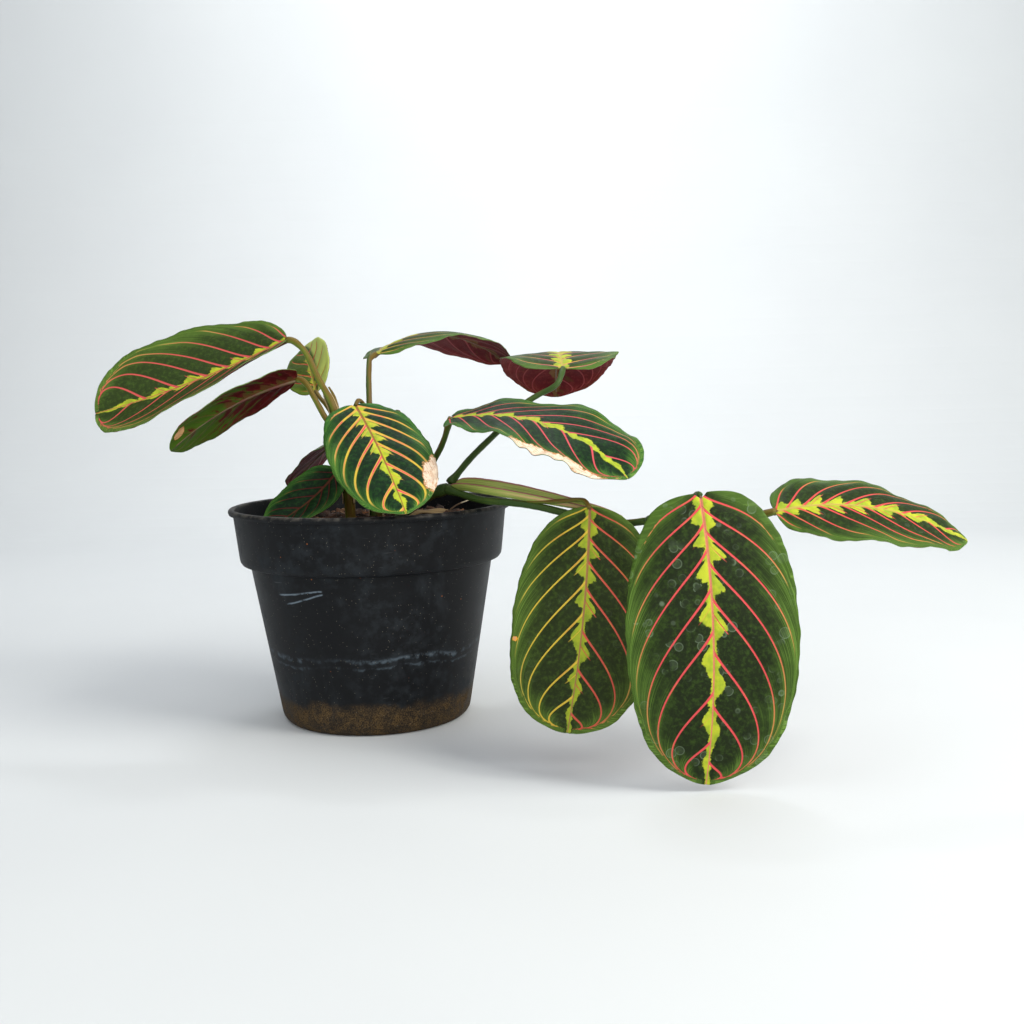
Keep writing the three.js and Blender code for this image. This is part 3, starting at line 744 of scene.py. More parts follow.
def blade_surface(leaf, row, column):
    """Rows (0 base, 1 tip) and columns (-1 left margin, 1 right margin) on the bent blade.

    Gives the points in millimetres, the share of the midrib and the distance from it."""
    out = np.abs(column)
    on_left = column < 0
    half = np.where(on_left, *leaf["half"]) * margin_wander(leaf, row, on_left, out)
    bow = 0.5 * (1 - np.cos(np.pi * row))
    broad = np.sin(np.pi * row ** leaf["taper"]) ** bluntness(leaf, row)
    tip = TIP * np.exp(-(((1 - row) / TIP_REACH) ** 2))
    start = NOTCH + (1 + TIP - NOTCH) * (0.55 * bow + 0.45 * row) - 0.1 * np.sin(np.pi * row)
    root = np.clip(start, NOTCH, 1 + TIP)
    t = root + (bow + tip - root) * out
    along, across, up = blade_axes(leaf, np.clip(t, 0, MIDRIB_REACH))
    span = half * broad * out
    fold = np.radians(np.where(on_left, *leaf["fold"]))
    curl = np.radians(np.where(on_left, *leaf["curl"]) + LEAST_CURL) / half
    sideways = (np.sin(fold + curl * span) - np.sin(fold)) / curl
    waves = leaf["ripple"] * np.sin(2 * np.pi * MARGIN_WAVES * row + np.where(on_left, *WAVE_STARTS))
    flutter = min(leaf["ripple"], 1) * FLUTTER_HEIGHT * np.sin(2 * np.pi * FLUTTERS * row + leaf["seed"] + on_left)
    lift = (np.cos(fold) - np.cos(fold + curl * span)) / curl + broad * (waves * out**2 + flutter * out**4)
    points = midrib_line(leaf, t)
    points = points + along * (np.minimum(t, 0) * leaf["length"])[..., None]
    points = points + across * (np.sign(column) * sideways)[..., None] + up * lift[..., None]
    return points, t, span


def vein_phase(leaf, t, distance, on_left):
    """The number of the side vein that runs through a place, counted from the base, with parts between veins."""
    t = np.clip(t, 0.001, 0.999)
    share = np.clip(distance / half_width(leaf, t, on_left, blunt=False), 0, 0.999)
    low = np.full_like(t, 1e-5)
    high = t.copy()
    for _ in range(VEIN_HALVINGS):
        station = (low + high) / 2
        bow = VEIN_BOW * station**-VEIN_BOW_POWER
        beyond = 1 - ((1 - t) / (1 - station)) ** bow > share
        low = np.where(beyond, station, low)
        high = np.where(beyond, high, station)
    station = (low + high) / 2 + VEIN_HOOK * np.exp(-distance / VEIN_HOOK_REACH)
    uneven = 0.10 * np.sin(7.1 * station + leaf["seed"])
    uneven = uneven + 0.06 * np.sin(17 * station + 2 * leaf["seed"] + 2 * on_left)
    return leaf["veins"] * station**VEIN_SPREAD - np.where(on_left, *FIRST_VEIN) + uneven


def vein_gap(leaf, t, distance, on_left):
    """Millimetres from one side vein to the next."""
    step = GAP_REACH / leaf["length"]
    here = vein_phase(leaf, t, distance, on_left)
    ahead = (vein_phase(leaf, t + step, distance, on_left) - here) / GAP_REACH
    outwards = (vein_phase(leaf, t, distance + GAP_REACH, on_left) - here) / GAP_REACH
    return 1 / np.maximum(np.hypot(ahead, outwards), 0.02)


def dry_weight(leaf, across, t):
    """1 in the middle of a dried patch, 0 at its rim and below 0 outside."""
    weight = np.full_like(t, -1.0)
    for middle, along, half_across, half_along in leaf["dry"]:
        away = np.hypot((across - middle) / half_across, (t - along) / half_along)
        weight = np.maximum(weight, 1 - away)
    return weight


def thickened(mesh, thickness, weights=None):
    """The sheet as a closed blade with an underside and a rim in material slots of their own."""
    def solidify(carrier):
        modifier = carrier.modifiers.new("Solidify", "SOLIDIFY")
        modifier.thickness = thickness
        modifier.offset = 0
        modifier.material_offset = 1
        modifier.material_offset_rim = 2
        if weights is not None:
            group = carrier.vertex_groups.new(name="thickness")
            for index, weight in enumerate(weights):
                group.add([index], float(weight), "REPLACE")
            modifier.vertex_group = group.name

    for _ in range(3):
        mesh.materials.append(None)
    return modified_mesh(mesh, solidify)


def blade_mesh(leaf, rows, columns, thickness, quilting):
    """A closed blade with swellings between its veins, and the maps that its colours follow."""
    mesh, column, row = grid_mesh(leaf["name"], rows, columns)
    column = np.sign(column) * np.abs(column) ** COLUMN_CROWDING
    row = FIRST_ROW + (LAST_ROW - FIRST_ROW) * row
    points, t, distance = blade_surface(leaf, row, column)
    set_places(mesh, points * MM)
    on_left = column < 0
    share = np.clip(distance / half_width(leaf, t, on_left), 0, 1)
    phase = vein_phase(leaf, t, distance, on_left)
    swell = np.clip(distance / SWELL_START, 0, 1) * np.clip((1 - share) / SWELL_END, 0, 1)
    swell = swell * np.sin(np.pi * phase) ** 2
    groove = np.exp(-((distance / GROOVE_WIDTH) ** 2)) * np.clip((1 - t) / GROOVE_END, 0, 1)
    dry = np.clip(dry_weight(leaf, np.sign(column) * share, t), 0, 1)
    crinkle = CRINKLE * dry * np.sin(60 * t + 9 * share) * share
    relief = quilting * (swell - 0.4) - GROOVE * groove + crinkle
    set_places(mesh, points * MM + vertex_normals(mesh) * relief[:, None])

    corners = loop_corners(mesh)
    left = np.repeat(column[corners].reshape(-1, 4).mean(1) < 0, 4)
    t, distance = t[corners], distance[corners]
    side = np.where(left, -1.0, 1.0)
    half = half_width(leaf, t, left)
    reach = np.clip(distance / half, 0, 1)
    add_uv(mesh, "Blade", 0.5 + 0.5 * side * reach, t)
    add_uv(mesh, "Veins", vein_phase(leaf, t, distance, left), vein_gap(leaf, t, distance, left))
    add_uv(mesh, "Reach", distance, (half - distance).clip(0))
    add_uv(mesh, "Dry", dry_weight(leaf, side * reach, t), np.where(left, 0.0, 1.0))
    return thickened(mesh, thickness, 1 - MARGIN_THINNING * share)


def lengths_along(points):
    """The length of a line up to each of its points."""
    return np.concatenate([[0], np.cumsum(np.linalg.norm(np.diff(points, axis=0), axis=1))])


def passing(t, start, end, first, second):
    """The value at t of a line that has the first value at the start and the second one at the end."""
    return ((end - t) * first + (t - start) * second) / (end - start)


def smooth_line(points, step):
    """Evenly spaced points on the centripetal curve through the given ones, and the lengths up to them."""
    given = [np.array(p, float) for p in points]
    given = [2 * given[0] - given[1], *given, 2 * given[-1] - given[-2]]
    fine = []
    for a, b, c, d in zip(given, given[1:], given[2:], given[3:]):
        gaps = [math.sqrt(max(np.linalg.norm(q - p), 1e-4)) for p, q in ((a, b), (b, c), (c, d))]
        k0, k1, k2, k3 = np.cumsum([0, *gaps])
        for t in np.linspace(k1, k2, CURVE_STEPS, endpoint=False):
            ab, bc, cd = passing(t, k0, k1, a, b), passing(t, k1, k2, b, c), passing(t, k2, k3, c, d)
            abc, bcd = passing(t, k0, k2, ab, bc), passing(t, k1, k3, bc, cd)
            fine.append(passing(t, k1, k2, abc, bcd))
    fine = np.array([*fine, given[-2]])
    lengths = lengths_along(fine)
    count = max(3, int(round(lengths[-1] / step)))
    stations = np.linspace(0, lengths[-1], count + 1)
    return np.stack([np.interp(stations, lengths, fine[:, k]) for k in range(3)], -1), stations


def line_frames(points):
    """Two directions across a line, which turn with it as little as they can."""
    along = unit(np.gradient(points, axis=0))
    first = np.cross(along[0], [0.0, 0.0, 1.0] if abs(along[0][2]) < 0.9 else [1.0, 0.0, 0.0])
    side = [unit(first)]
    for direction in along[1:]:
        side.append(unit(side[-1] - direction * np.dot(side[-1], direction)))
    return np.array(side), np.cross(along, side)


def rolled_places(line, ring, turn, radius):
    """The places at turns round a line, at given radii from its points."""
    side, other = line_frames(line)
    circle = side[ring] * np.cos(turn)[:, None] + other[ring] * np.sin(turn)[:, None]
    return (line[ring] + circle * radius[:, None]) * MM


def tube_mesh(name, points, radii, sides, lobes=0.0, seed=0):
    """A closed round tube: a grid rolled round a line, with its ends filled."""
    points = np.array(points, float)
    mesh, column, row = grid_mesh(name, len(points) - 1, sides)
    ring = np.rint(row * (len(points) - 1)).astype(int)
    turn = np.pi * column
    radius = np.array(radii)[ring] * (1 + lobes * np.sin(3 * turn + 0.05 * ring + seed))
    set_places(mesh, rolled_places(points, ring, turn, radius))
    add_stem_uv(mesh, column, lengths_along(points)[ring])
    rolled = bmesh.new()
    rolled.from_mesh(mesh)
    bpy.data.meshes.remove(mesh)
    bmesh.ops.remove_doubles(rolled, verts=rolled.verts, dist=1e-7)
    bmesh.ops.holes_fill(rolled, edges=[edge for edge in rolled.edges if edge.is_boundary], sides=0)
    bmesh.ops.recalc_face_normals(rolled, faces=rolled.faces)
    return mesh_of(rolled, name)


def wrap_mesh(points, radius, opening, point_share):
    """A membrane wrapped round a stem, open along one side and drawn to a point at its top."""
    line, stations = smooth_line(points, WRAP_STEP)
    mesh, column, row = grid_mesh("wrap", len(line) - 1, 28)
    ring = np.rint(row * (len(line) - 1)).astype(int)
    share = stations[ring] / stations[-1]
    closing = np.clip((1 - share) / point_share, 0.02, 1) ** 0.6
    turn = np.pi * column * (1 - opening / 360) * closing
    out = radius + WRAP_LIFT + 0.5 * share**2 + 0.15 * np.abs(column) ** 3
    set_places(mesh, rolled_places(line, ring, turn, out))
    add_stem_uv(mesh, column, stations[ring])
    return thickened(mesh, WRAP_THICKNESS)


def leaf_pattern():
    """The node group that says where a blade's veins, lobes, fields and streaks lie."""
    tree = bpy.data.node_groups.new("Leaf_Pattern", "ShaderNodeTree")
    for name in ("Seed", "Lobes", "Broad"):
        tree.interface.new_socket(name, in_out="INPUT", socket_type="NodeSocketFloat")
    g = Graph(tree)
    given = tree.nodes.new("NodeGroupInput")
    seed, lobes, breadth = [Wire(g, given.outputs[name]) for name in ("Seed", "Lobes", "Broad")]
    u, t = g.uv("Blade")
    phase, gap = g.uv("Veins")
    away, margin = g.uv("Reach")
    dry_map, right = g.uv("Dry")
    share = abs(u * 2.0 - 1.0)
    place = g.place()
    count = g.math("FLOOR", phase)
    part = phase - count
    throw = g.vector(count, seed, right)
    chance = g.run("ShaderNodeTexWhiteNoise", {"Vector": throw}, "Value", noise_dimensions="3D")

    # Lobes: their reach from the midrib depends on the place between two veins
    reach = g.ramp(g.math("FRACT", phase + away * 0.028), [
        (0.0, 0.30), (0.05, 0.48), (0.10, 0.55), (0.15, 0.48), (0.19, 0.30), (0.24, 0.38), (0.29, 0.76),
        (0.35, 0.95), (0.42, 1.0), (0.48, 0.90), (0.53, 0.72), (0.62, 0.64), (0.70, 0.48), (0.77, 0.27),
        (0.88, 0.20), (1.0, 0.30),
    ])
    course = g.ramp(t, [(0.0, 0.5), (0.05, 0.9), (0.3, 1.0), (0.6, 0.9), (0.85, 0.6), (1.0, 0.25)])
    reach = g.blend(t.rise(0.06, 0.18), g.blend(part.rise(0.2, 0.8), 0.75, 0.45), reach)
    teeth = (g.noise(place, 1000.0) - 0.5) * 1.8
    limit = reach * g.blend(chance, 5.0, 7.0) * course * lobes + teeth * lobes
    lime = (away - limit).rise(0.3, -0.3) * lobes.rise(0.02, 0.08)

    # Side veins, one at each whole number of the phase, which end short of the margin
    near = g.math("MINIMUM", part, 1.0 - part) * gap / breadth
    width = g.blend(share, 0.50, 0.20)
    ends = g.noise(place, 120.0) * 2.4 + 0.6
    vein = (near - width).rise(VEIN_BLUR, -VEIN_BLUR) * (margin - ends).rise(0.0, 2.2) * phase.rise(-0.45, -0.40)
    core = near.rise(width * 0.65, width * 0.35)
    midrib = (away - g.blend(t, 0.75, 0.22)).rise(VEIN_BLUR, -VEIN_BLUR)

    # A finer vein runs into some of the lobes
    lobe_vein = (abs(part - 0.36) * gap).rise(0.32, 0.08) * (away - limit * 1.3).rise(0.8, -0.8)
    lobe_vein = lobe_vein * chance.rise(0.30, 0.40) * t.rise(0.16, 0.24) * t.rise(0.86, 0.8)
    vein = g.math("MAXIMUM", vein, lobe_vein * 0.85)

    # Dark fields fade towards the margin in streaks that follow the veins
    streak = g.noise(g.vector(phase * 17.0, share * 1.4, seed + right), detail=3.0, roughness=0.6)
    edge = share + (g.noise(place, 60.0, 3.0) - 0.5) * 0.5 + (streak - 0.5) * 0.5
    edge = edge + t.rise(0.80, 1.0) * 0.35 + t.rise(0.12, 0.0) * 0.45 + (abs(part - 0.5) - 0.25) * 0.35
    field = edge.rise(1.12, 0.48)
    pale = streak.rise(0.48, 0.62) * edge.rise(0.62, 1.10) * g.blend(t.rise(0.10, 0.40), 0.3, 1.0)

    # Rings left by dried drops
    drop, drop_chance = g.cells(place, 210.0)
    ring_size = g.blend(drop_chance, 0.20, 0.46)
    disc = drop.rise(ring_size, ring_size - 0.05) * 0.25
    ring = g.math("MAXIMUM", abs(drop - ring_size).rise(0.07, 0.0), disc)
    ring = ring * g.noise(place, 90.0).rise(0.42, 0.60) * drop_chance.rise(0.25, 0.85)

    dry = (dry_map + (g.noise(place, 240.0, 4.0, 0.65) - 0.5) * 0.9).rise(0.0, 0.14)
    tint = g.noise(g.vector(count, away * 0.10, right), detail=1.0).rise(0.35, 0.65)
    height = vein * -0.5 + streak * 0.35 + g.noise(place, 2500.0, 1.0) * 0.12
    results = {
        "Vein": vein, "Core": core, "Share": share, "Midrib": midrib, "Lime": lime, "Field": field,
        "Streak": pale, "Dry": dry, "Tint": tint, "Spots": ring, "Height": height,
    }
    for name in results:
        tree.interface.new_socket(name, in_out="OUTPUT", socket_type="NodeSocketFloat")
    end = tree.nodes.new("NodeGroupOutput")
    for name, wire in results.items():
        tree.links.new(wire.socket, end.inputs[name])
    return tree


def blade_graph(leaf, face, group):
    """The graph of one face of a blade, and the wires of its pattern by name."""
    graph = material_graph(f"{leaf['name']}_{face}")
    node = graph.tree.nodes.new("ShaderNodeGroup")
    node.node_tree = group
    for name, key in (("Seed", "seed"), ("Lobes", "lime"), ("Broad", "broad")):
        node.inputs[name].default_value = leaf[key]
    return graph, {output.name: Wire(graph, output) for output in node.outputs}


def dry_colour(g, colour, dry, leaf):
    """Cream where the blade has dried, with tan cracks along the veins and an orange rim."""
    phase, _ = g.uv("Veins")
    _, t = g.uv("Blade")
    lined = g.noise(g.vector(phase * 9.0, t * 14.0, 0.0), detail=4.0)
    marks = lined * 0.6 + g.noise(g.place(), 420.0, 5.0, 0.7) * 0.4
    dried = g.coats(
        leaf["dry_tint"] or settings().blade.dry,
        (marks.rise(0.46, 0.60), 0xC99A72),
        (marks.rise(0.60, 0.70), 0x8A5632),
    )
    rim = dry.rise(0.0, 0.4) * dry.rise(1.0, 0.6)
    return g.coats(colour, (dry, dried), (rim * 0.75, 0xC07A30))


def upper_material(leaf, group):
    """Green face with rose or amber veins and lime lobes."""
    look = settings().blade
    g, mask = blade_graph(leaf, "upper", group)
    dark = between(0x6E8A33, between(0x2C2A0C, look.field_dark, 1 - leaf["warm"]), leaf["depth"])
    middle = between(0x93A63C, between(0x5C5E1E, look.field_mid, 1 - leaf["warm"]), leaf["depth"])
    place = g.place()
    mottle = g.noise(place, 520.0, 4.0, 0.65).rise(0.42, 0.75)
    lime = g.coats(
        look.lime,
        (g.noise(place, 260.0, 3.0).rise(0.35, 0.7), 0x93A82C),
        (leaf["dull"], 0x6F8226),
    )
    colour = g.coats(
        middle,
        (mask["Field"], dark),
        (mottle * 0.45, middle),
        (mask["Streak"] * 0.6, look.margin),
        (mask["Spots"] * (0.34 * leaf["spots"]), 0x8FA487),
        (mask["Lime"], lime),
    )

    # Veins: amber edges round a rose core, which is missing in places on the older leaves
    amber = leaf["amber"]
    if "amber_left" in leaf:
        _, right = g.uv("Dry")
        amber = g.blend(right, leaf["amber_left"], amber)
    rosy = (mask["Tint"] + (0.5 + leaf["cores"]) - amber).rise(0.35, 0.75)
    plain = 1.0 - g.math("MINIMUM", g.math("MAXIMUM", amber, 0.0), 1.0)
    rosy = g.math("MAXIMUM", rosy * mask["Core"], rosy * plain)
    vein_colour = g.coats(look.amber, (rosy, leaf["ink"]), (mask["Share"].rise(0.62, 0.98) * 0.8, 0xA9A248))
    colour = g.coats(colour, (mask["Vein"], vein_colour), (mask["Midrib"] * 0.9, leaf["midrib"]))
    if leaf["pale_side"]:
        u, _ = g.uv("Blade")
        pale = ((u - 0.5) * 2.0 + mask["Streak"] * 0.3).rise(0.25, 0.40) * (1.0 - mask["Vein"] * 0.9)
        colour = g.mix(pale * 0.85, colour, 0xBECB6A)
    colour = dry_colour(g, colour, mask["Dry"], leaf)
    roughness = g.blend(g.noise(place, 140.0, 3.0), 0.36, 0.60)
    return g.surface(colour, roughness, (mask["Height"], 0.0004, 0.8), specular=0.14)


def lower_material(leaf, group):
    """Maroon face, olive in places, with the pattern showing through faintly."""
    look = settings().blade
    olive = leaf["olive"]
    g, mask = blade_graph(leaf, "lower", group)
    place = g.place()
    cloud = g.noise(place, 70.0, 4.0, 0.6)
    mottle = g.noise(place, 380.0, 4.0, 0.7).rise(0.48, 0.66)
    phase, _ = g.uv("Veins")
    _, t = g.uv("Blade")
    patches = g.noise(g.vector(phase * 1.6, t * 5.0, leaf["seed"]), detail=5.0, roughness=0.7) + (t - 0.55) * 0.3
    patches = patches.rise(0.62 - 0.24 * olive, 0.74 - 0.28 * olive)
    colour = g.coats(
        look.underside,
        (cloud, 0x47141A),
        (mottle * 0.5, 0x8E3A34),
        (mask["Field"] * 0.45, 0x3A0E14),
        (mask["Streak"] * 0.3, 0x7A5A45),
        (mask["Lime"] * 0.22, 0x8A8A48),
        (0.35 * olive, 0x240E0A),
        (patches * (0.25 + 0.9 * olive), 0x3C5A1A),
        (mask["Vein"] * (0.6 - 0.6 * olive), look.underside_vein),
    )
    colour = dry_colour(g, colour, mask["Dry"], leaf)
    return g.surface(colour, g.blend(cloud, 0.42, 0.62), (mask["Height"] * -1.0, 0.0004, 0.8), specular=0.1, ior=1.25)


def rim_material():
    """The blade's cut edge: a thin green line that browns in places."""
    g = material_graph("blade_rim")
    brown = g.noise(g.place(), 160.0, 3.0).rise(0.5, 0.65)
    return g.surface(g.mix(brown, 0x5C7A35, 0x6B4030), 0.5)


def rib_material():
    """The midrib's raised cord on the underside."""
    g = material_graph("blade_rib")
    _, along = g.uv("Stem")
    red = g.noise(g.vector(along, 0.0, 0.0), 0.12, 3.0).rise(0.4, 0.6)
    return g.surface(g.mix(red, 0x5C5030, 0x62302A), 0.45)


class PLANT_OT_leaf_blades(bpy.types.Operator):
    """Add every leaf blade with its veins and colours"""

    bl_idname = "plant.leaf_blades"
    bl_label = "Leaf Blades"

    def execute(self, context):
        look = settings().blade
        group = leaf_pattern()
        rim = rim_material()
        rib = rib_material()
        for leaf in LEAVES:
            rows = max(70, int(look.rows * (leaf["length"] / 100)))
            columns = 2 * max(14, int(look.columns * max(leaf["half"]) / 66))
            blade = blade_mesh(leaf, rows, columns, look.thickness, look.quilting)
            mesh = joined_mesh(leaf["name"] + "_blade", [(blade, None), (self.rib_mesh(leaf), 3)])
            materials = [upper_material(leaf, group), lower_material(leaf, group), rim, rib]
            finish_piece(leaf["name"] + "_blade", mesh, materials, "leaf_blade", leaf["name"])
        return {"FINISHED"}

    def rib_mesh(self, leaf):
        """A cord under the midrib, which sinks into the blade towards its tip."""
        t = np.linspace(RIB_START / leaf["length"], RIB_END, RIB_POINTS)
        inside = np.clip(t, 0, 1)
        along, _, _ = blade_axes(leaf, np.zeros(1))
        _, _, up = blade_axes(leaf, inside)
        radii = RIB_LEAST + RIB_MORE * (1 - t) ** 1.3
        line = midrib_line(leaf, inside) + along * np.minimum(t, 0)[:, None] * leaf["length"]
        return tube_mesh("rib", line - up * (RIB_SINK + 0.85 * radii)[:, None], radii, 10)


def stalk_end(name):
    """Where a stalk meets its blade."""
    leaf = next(leaf for leaf in LEAVES if leaf["name"] == name)
    along, _, _ = blade_axes(leaf, np.zeros(1))
    return tuple(np.array(leaf["base"], float) + 0.6 * along[0])


def stem_radii(stations, start, end, swelling, knots):
    """Radii along a stem: a taper, a swelling before the blade and knots at (place, size, length)."""
    radii = start + (end - start) * (stations / stations[-1])
    before_end = stations[-1] - stations - SWELLING_PLACE
    radii = radii * (1 + swelling * np.exp(-((before_end / SWELLING_REACH) ** 4)))
    for place, size, length in knots:
        radii = radii + size * np.exp(-(((stations - place) / length) ** 2))
    return radii * (1 + 0.02 * np.sin(stations * 0.55) + 0.015 * np.sin(stations * 1.3 + 1))


def stem_mesh(points, start, end, swelling, knots, seed):
    """The closed tube of a stem."""
    look = settings().stem
    points = [stalk_end(point) if isinstance(point, str) else point for point in points]
    line, stations = smooth_line(points, look.step / MM)
    radii = stem_radii(stations, start, end, swelling, knots)
    return tube_mesh("stem", line, radii, look.sides, 0.03, seed)


def stem_material(name, young, aged):
    """Satin stem, paler the younger it is, with brown patches where it has aged and fine lines along it."""
    look = settings().stem
    g = material_graph(name)
    around, _, lines = g.lines(22.0, 0.06)
    place = g.place()
    patches = g.math("SINE", around * (2 * math.pi)) * 0.32 + g.noise(place, 55.0, 3.0)
    green = tuple((1 - young) * a + young * b for a, b in zip(look.green, look.pale))
    colour = g.coats(
        green,
        (patches.rise(0.95 - 0.6 * aged, 1.25 - 0.5 * aged) * 0.85, between(0x6E4C1C, look.brown, 1 - young)),
        (lines.rise(0.5, 0.75) * (0.15 + 0.4 * young), look.pale),
        (g.noise(place, 1400.0).rise(0.66, 0.74) * 0.5, 0x3A2416),
    )
    return g.surface(colour, g.blend(lines, 0.32, 0.55), (lines, 0.0002, 0.7), specular=0.2)


def wrap_material():
    """Thin dry leaf base that wraps a stem: pale, lined, tan at its edge."""
    g = material_graph("stem_wrap")
    around, _, lines = g.lines(40.0, 0.05)
    edge = abs(around - 0.5).rise(0.36, 0.5)
    colour = g.coats(0x8D8F4E, (lines.rise(0.35, 0.7), 0x5F6230), (edge, 0xC9AE84))
    return g.surface(colour, 0.55, (lines, 0.0002, 0.6))


def sheath_material():
    """Pale green sheath with a dry tan band and a purple margin."""
    g = material_graph("sheath")
    around, along, lines = g.lines(30.0, 3.0)
    band = around + (lines - 0.5) * 0.25
    colour = g.coats(
        0x8AA446,
        (lines.rise(0.35, 0.7), 0xC4CC6C),
        (band.rise(0.66, 0.74) * band.rise(0.92, 0.84) * along.rise(0.20, 0.65), 0xDDB882),
        (abs(around - 0.5).rise(0.42, 0.49), 0xA25A5E),
    )
    return g.surface(colour, 0.5, (lines, 0.0003, 0.7))


class PLANT_OT_shoots(bpy.types.Operator):
    """Add the two shoots and the runner, each with its leaf stalks and membranes"""

    bl_idname = "plant.shoots"
    bl_label = "Shoots"

    def execute(self, context):
        for shoot in SHOOTS:
            parts = []
            for look, stems in enumerate(shoot["stems"]):
                parts += [(stem_mesh(seed=seed, **values), look) for seed, values in enumerate(stems)]
            materials = [stem_material(*look) for look in shoot["looks"]]
            if shoot["wraps"]:
                parts += [(wrap_mesh(**values), len(materials)) for values in shoot["wraps"]]
                materials.append(wrap_material())
            name = shoot["name"] + "_stems"
            finish_piece(name, joined_mesh(name, parts), materials, "stem", shoot["name"])
        return {"FINISHED"}


class PLANT_OT_sheath(bpy.types.Operator):
    """Add the boat-shaped sheath round the runner's leaf stalk"""

    bl_idname = "plant.sheath"
    bl_label = "Sheath"

    def execute(self, context):
        mesh, column, row = grid_mesh("sheath", 150, 28)
        points, t, _ = blade_surface(SHEATH, FIRST_ROW + (LAST_ROW - FIRST_ROW) * row, column)
        set_places(mesh, points * MM)
        add_stem_uv(mesh, column, t)
        mesh = joined_mesh("runner_sheath", [(thickened(mesh, SHEATH_THICKNESS), 0)])
        finish_piece("runner_sheath", mesh, [sheath_material()], "stem", "runner")
        return {"FINISHED"}


def pot_outline(pot):
    """The pot's outside from the middle of its base to its lip, and its inside back down, in metres."""
    lip, top, wall = pot.lip_radius, pot.height, pot.wall
    outside = [
        (0.0, 0.0), (0.043, 0.0), POT_BASE, (0.0462, 0.0015), (0.0472, 0.0032), WALL_FOOT,
        WALL_TOP, (0.0605, 0.0790), (0.0628, 0.0792), (0.0642, 0.0797), (0.0650, 0.0809), BAND_FOOT,
        (lip - 0.0023, top - 0.003), (lip - 0.0018, top - 0.0028), (lip - 0.0004, top - 0.0027),
        (lip, top - 0.0018), (lip - 0.0001, top - 0.0009), (lip - 0.0006, top - 0.0003), (lip - 0.0015, top),
        (lip - 0.0026, top - 0.0001), (lip - 0.0031, top - 0.0006),
    ]
    inside = [
        (lip - 0.0023 - wall, top - 0.0035), (BAND_FOOT[0] - wall, BAND_FOOT[1] - 0.0015),
        (WALL_TOP[0] - wall, WALL_TOP[1] - wall), (WALL_FOOT[0] - wall, WALL_FOOT[1]),
        (POT_BASE[0] - wall, POT_FLOOR), (0.0, POT_FLOOR),
    ]
    return outside + inside


def turned_mesh(name, outline, steps):
    """A closed body turned from an outline that starts and ends on the axis."""
    body = bmesh.new()
    corners = [body.verts.new((radius, 0, height)) for radius, height in outline]
    edges = [body.edges.new(pair) for pair in zip(corners, corners[1:])]
    bmesh.ops.spin(
        body, geom=corners + edges, cent=(0, 0, 0), axis=(0, 0, 1), angle=2 * math.pi, steps=steps, use_merge=True,
    )
    bmesh.ops.remove_doubles(body, verts=body.verts, dist=1e-6)
    bmesh.ops.recalc_face_normals(body, faces=body.faces)
    return mesh_of(body, name)


def scrape_mask(x, z, start, end):
    """1 on a thin mark between two (x, z) places, 0 beside it."""
    share = (x - start[0]) / (end[0] - start[0])
    line = share * (end[1] - start[1]) + start[1]
    return abs(z - line).rise(0.0006, 0.0001) * share.rise(0.0, 0.1) * share.rise(1.0, 0.95)


def pot_material():
    """Black plastic with dust, scuffs, two water lines and a soil stain at its foot."""
    look = settings().pot
    g = material_graph("pot_plastic")
    place = g.place()
    x, y, z = g.split(place)
    cloud = g.noise(place, 22.0, 4.0, 0.6)
    fine = g.noise(place, 160.0, 4.0, 0.65)
    grain = g.noise(place, 1800.0)
    dust = cloud.rise(0.40, 0.65) * fine.rise(0.42, 0.70)
    smears = g.noise(g.vector(x * 60.0, z * 22.0, y), detail=5.0, roughness=0.7).rise(0.52, 0.72)
    colour = g.coats(look.plastic, (dust * 0.22, look.dust), (smears * 0.16, look.dust))

    # Blotchy water lines
    wobble = (g.noise(place, 40.0, 4.0, 0.65) - 0.5) * 0.012
    level = z + wobble
    for height, width, strength in WATER_LINES:
        line = abs(level - height).rise(width, 0.0) * fine.rise(0.40, 0.62) * cloud.rise(0.40, 0.58)
        colour = g.mix(line * strength, colour, 0x7D8E9C)

    # Brown stain with a ragged upper edge
    ragged = (g.noise(place, 90.0, 4.0, 0.65) - 0.5) * 0.012
    stain = (level + ragged).rise(0.0175, 0.0115) * g.blend(fine.rise(0.40, 0.60), 0.45, 1.0)
    colour = g.mix(stain, colour, g.mix(grain.rise(0.35, 0.65), 0x2C241A, look.stain))

    # Specks of dust and soil, wear on the lip and fine scratches round the pot
    speck, speck_chance = g.cells(place, 760.0)
    rust, rust_chance = g.cells(place, 300.0)
    scratch = g.noise(g.vector(g.math("ARCTAN2", y, x) * 5.0, z * 900.0, 0.0)).rise(0.70, 0.76)
    scratch = scratch * cloud.rise(0.45, 0.6)
    colour = g.coats(
        colour,
        (speck.rise(0.16, 0.08) * speck_chance.rise(0.52, 0.64) * 0.5, 0x8F8878),
        (rust.rise(0.14, 0.06) * rust_chance.rise(0.86, 0.90), 0x8A4E22),
        (z.rise(0.1050, 0.1066) * fine.rise(0.40, 0.62) * 0.45, 0x6A655C),
        (scratch * 0.12, 0x9CA2A6),
    )

    # Scrapes on the front
    for start, end in SCRAPES:
        scrape = scrape_mask(x, z + wobble * 0.25, start, end) * y.rise(-0.02, -0.03) * fine.rise(0.30, 0.55)
        colour = g.mix(scrape * 0.5, colour, 0x8FA0AE)
    roughness = g.blend(cloud, 0.42, 0.58) + (dust + stain) * 0.25
    return g.surface(colour, roughness, (grain * 0.25 + scratch * -0.6, 0.0001, 0.5), specular=0.16)


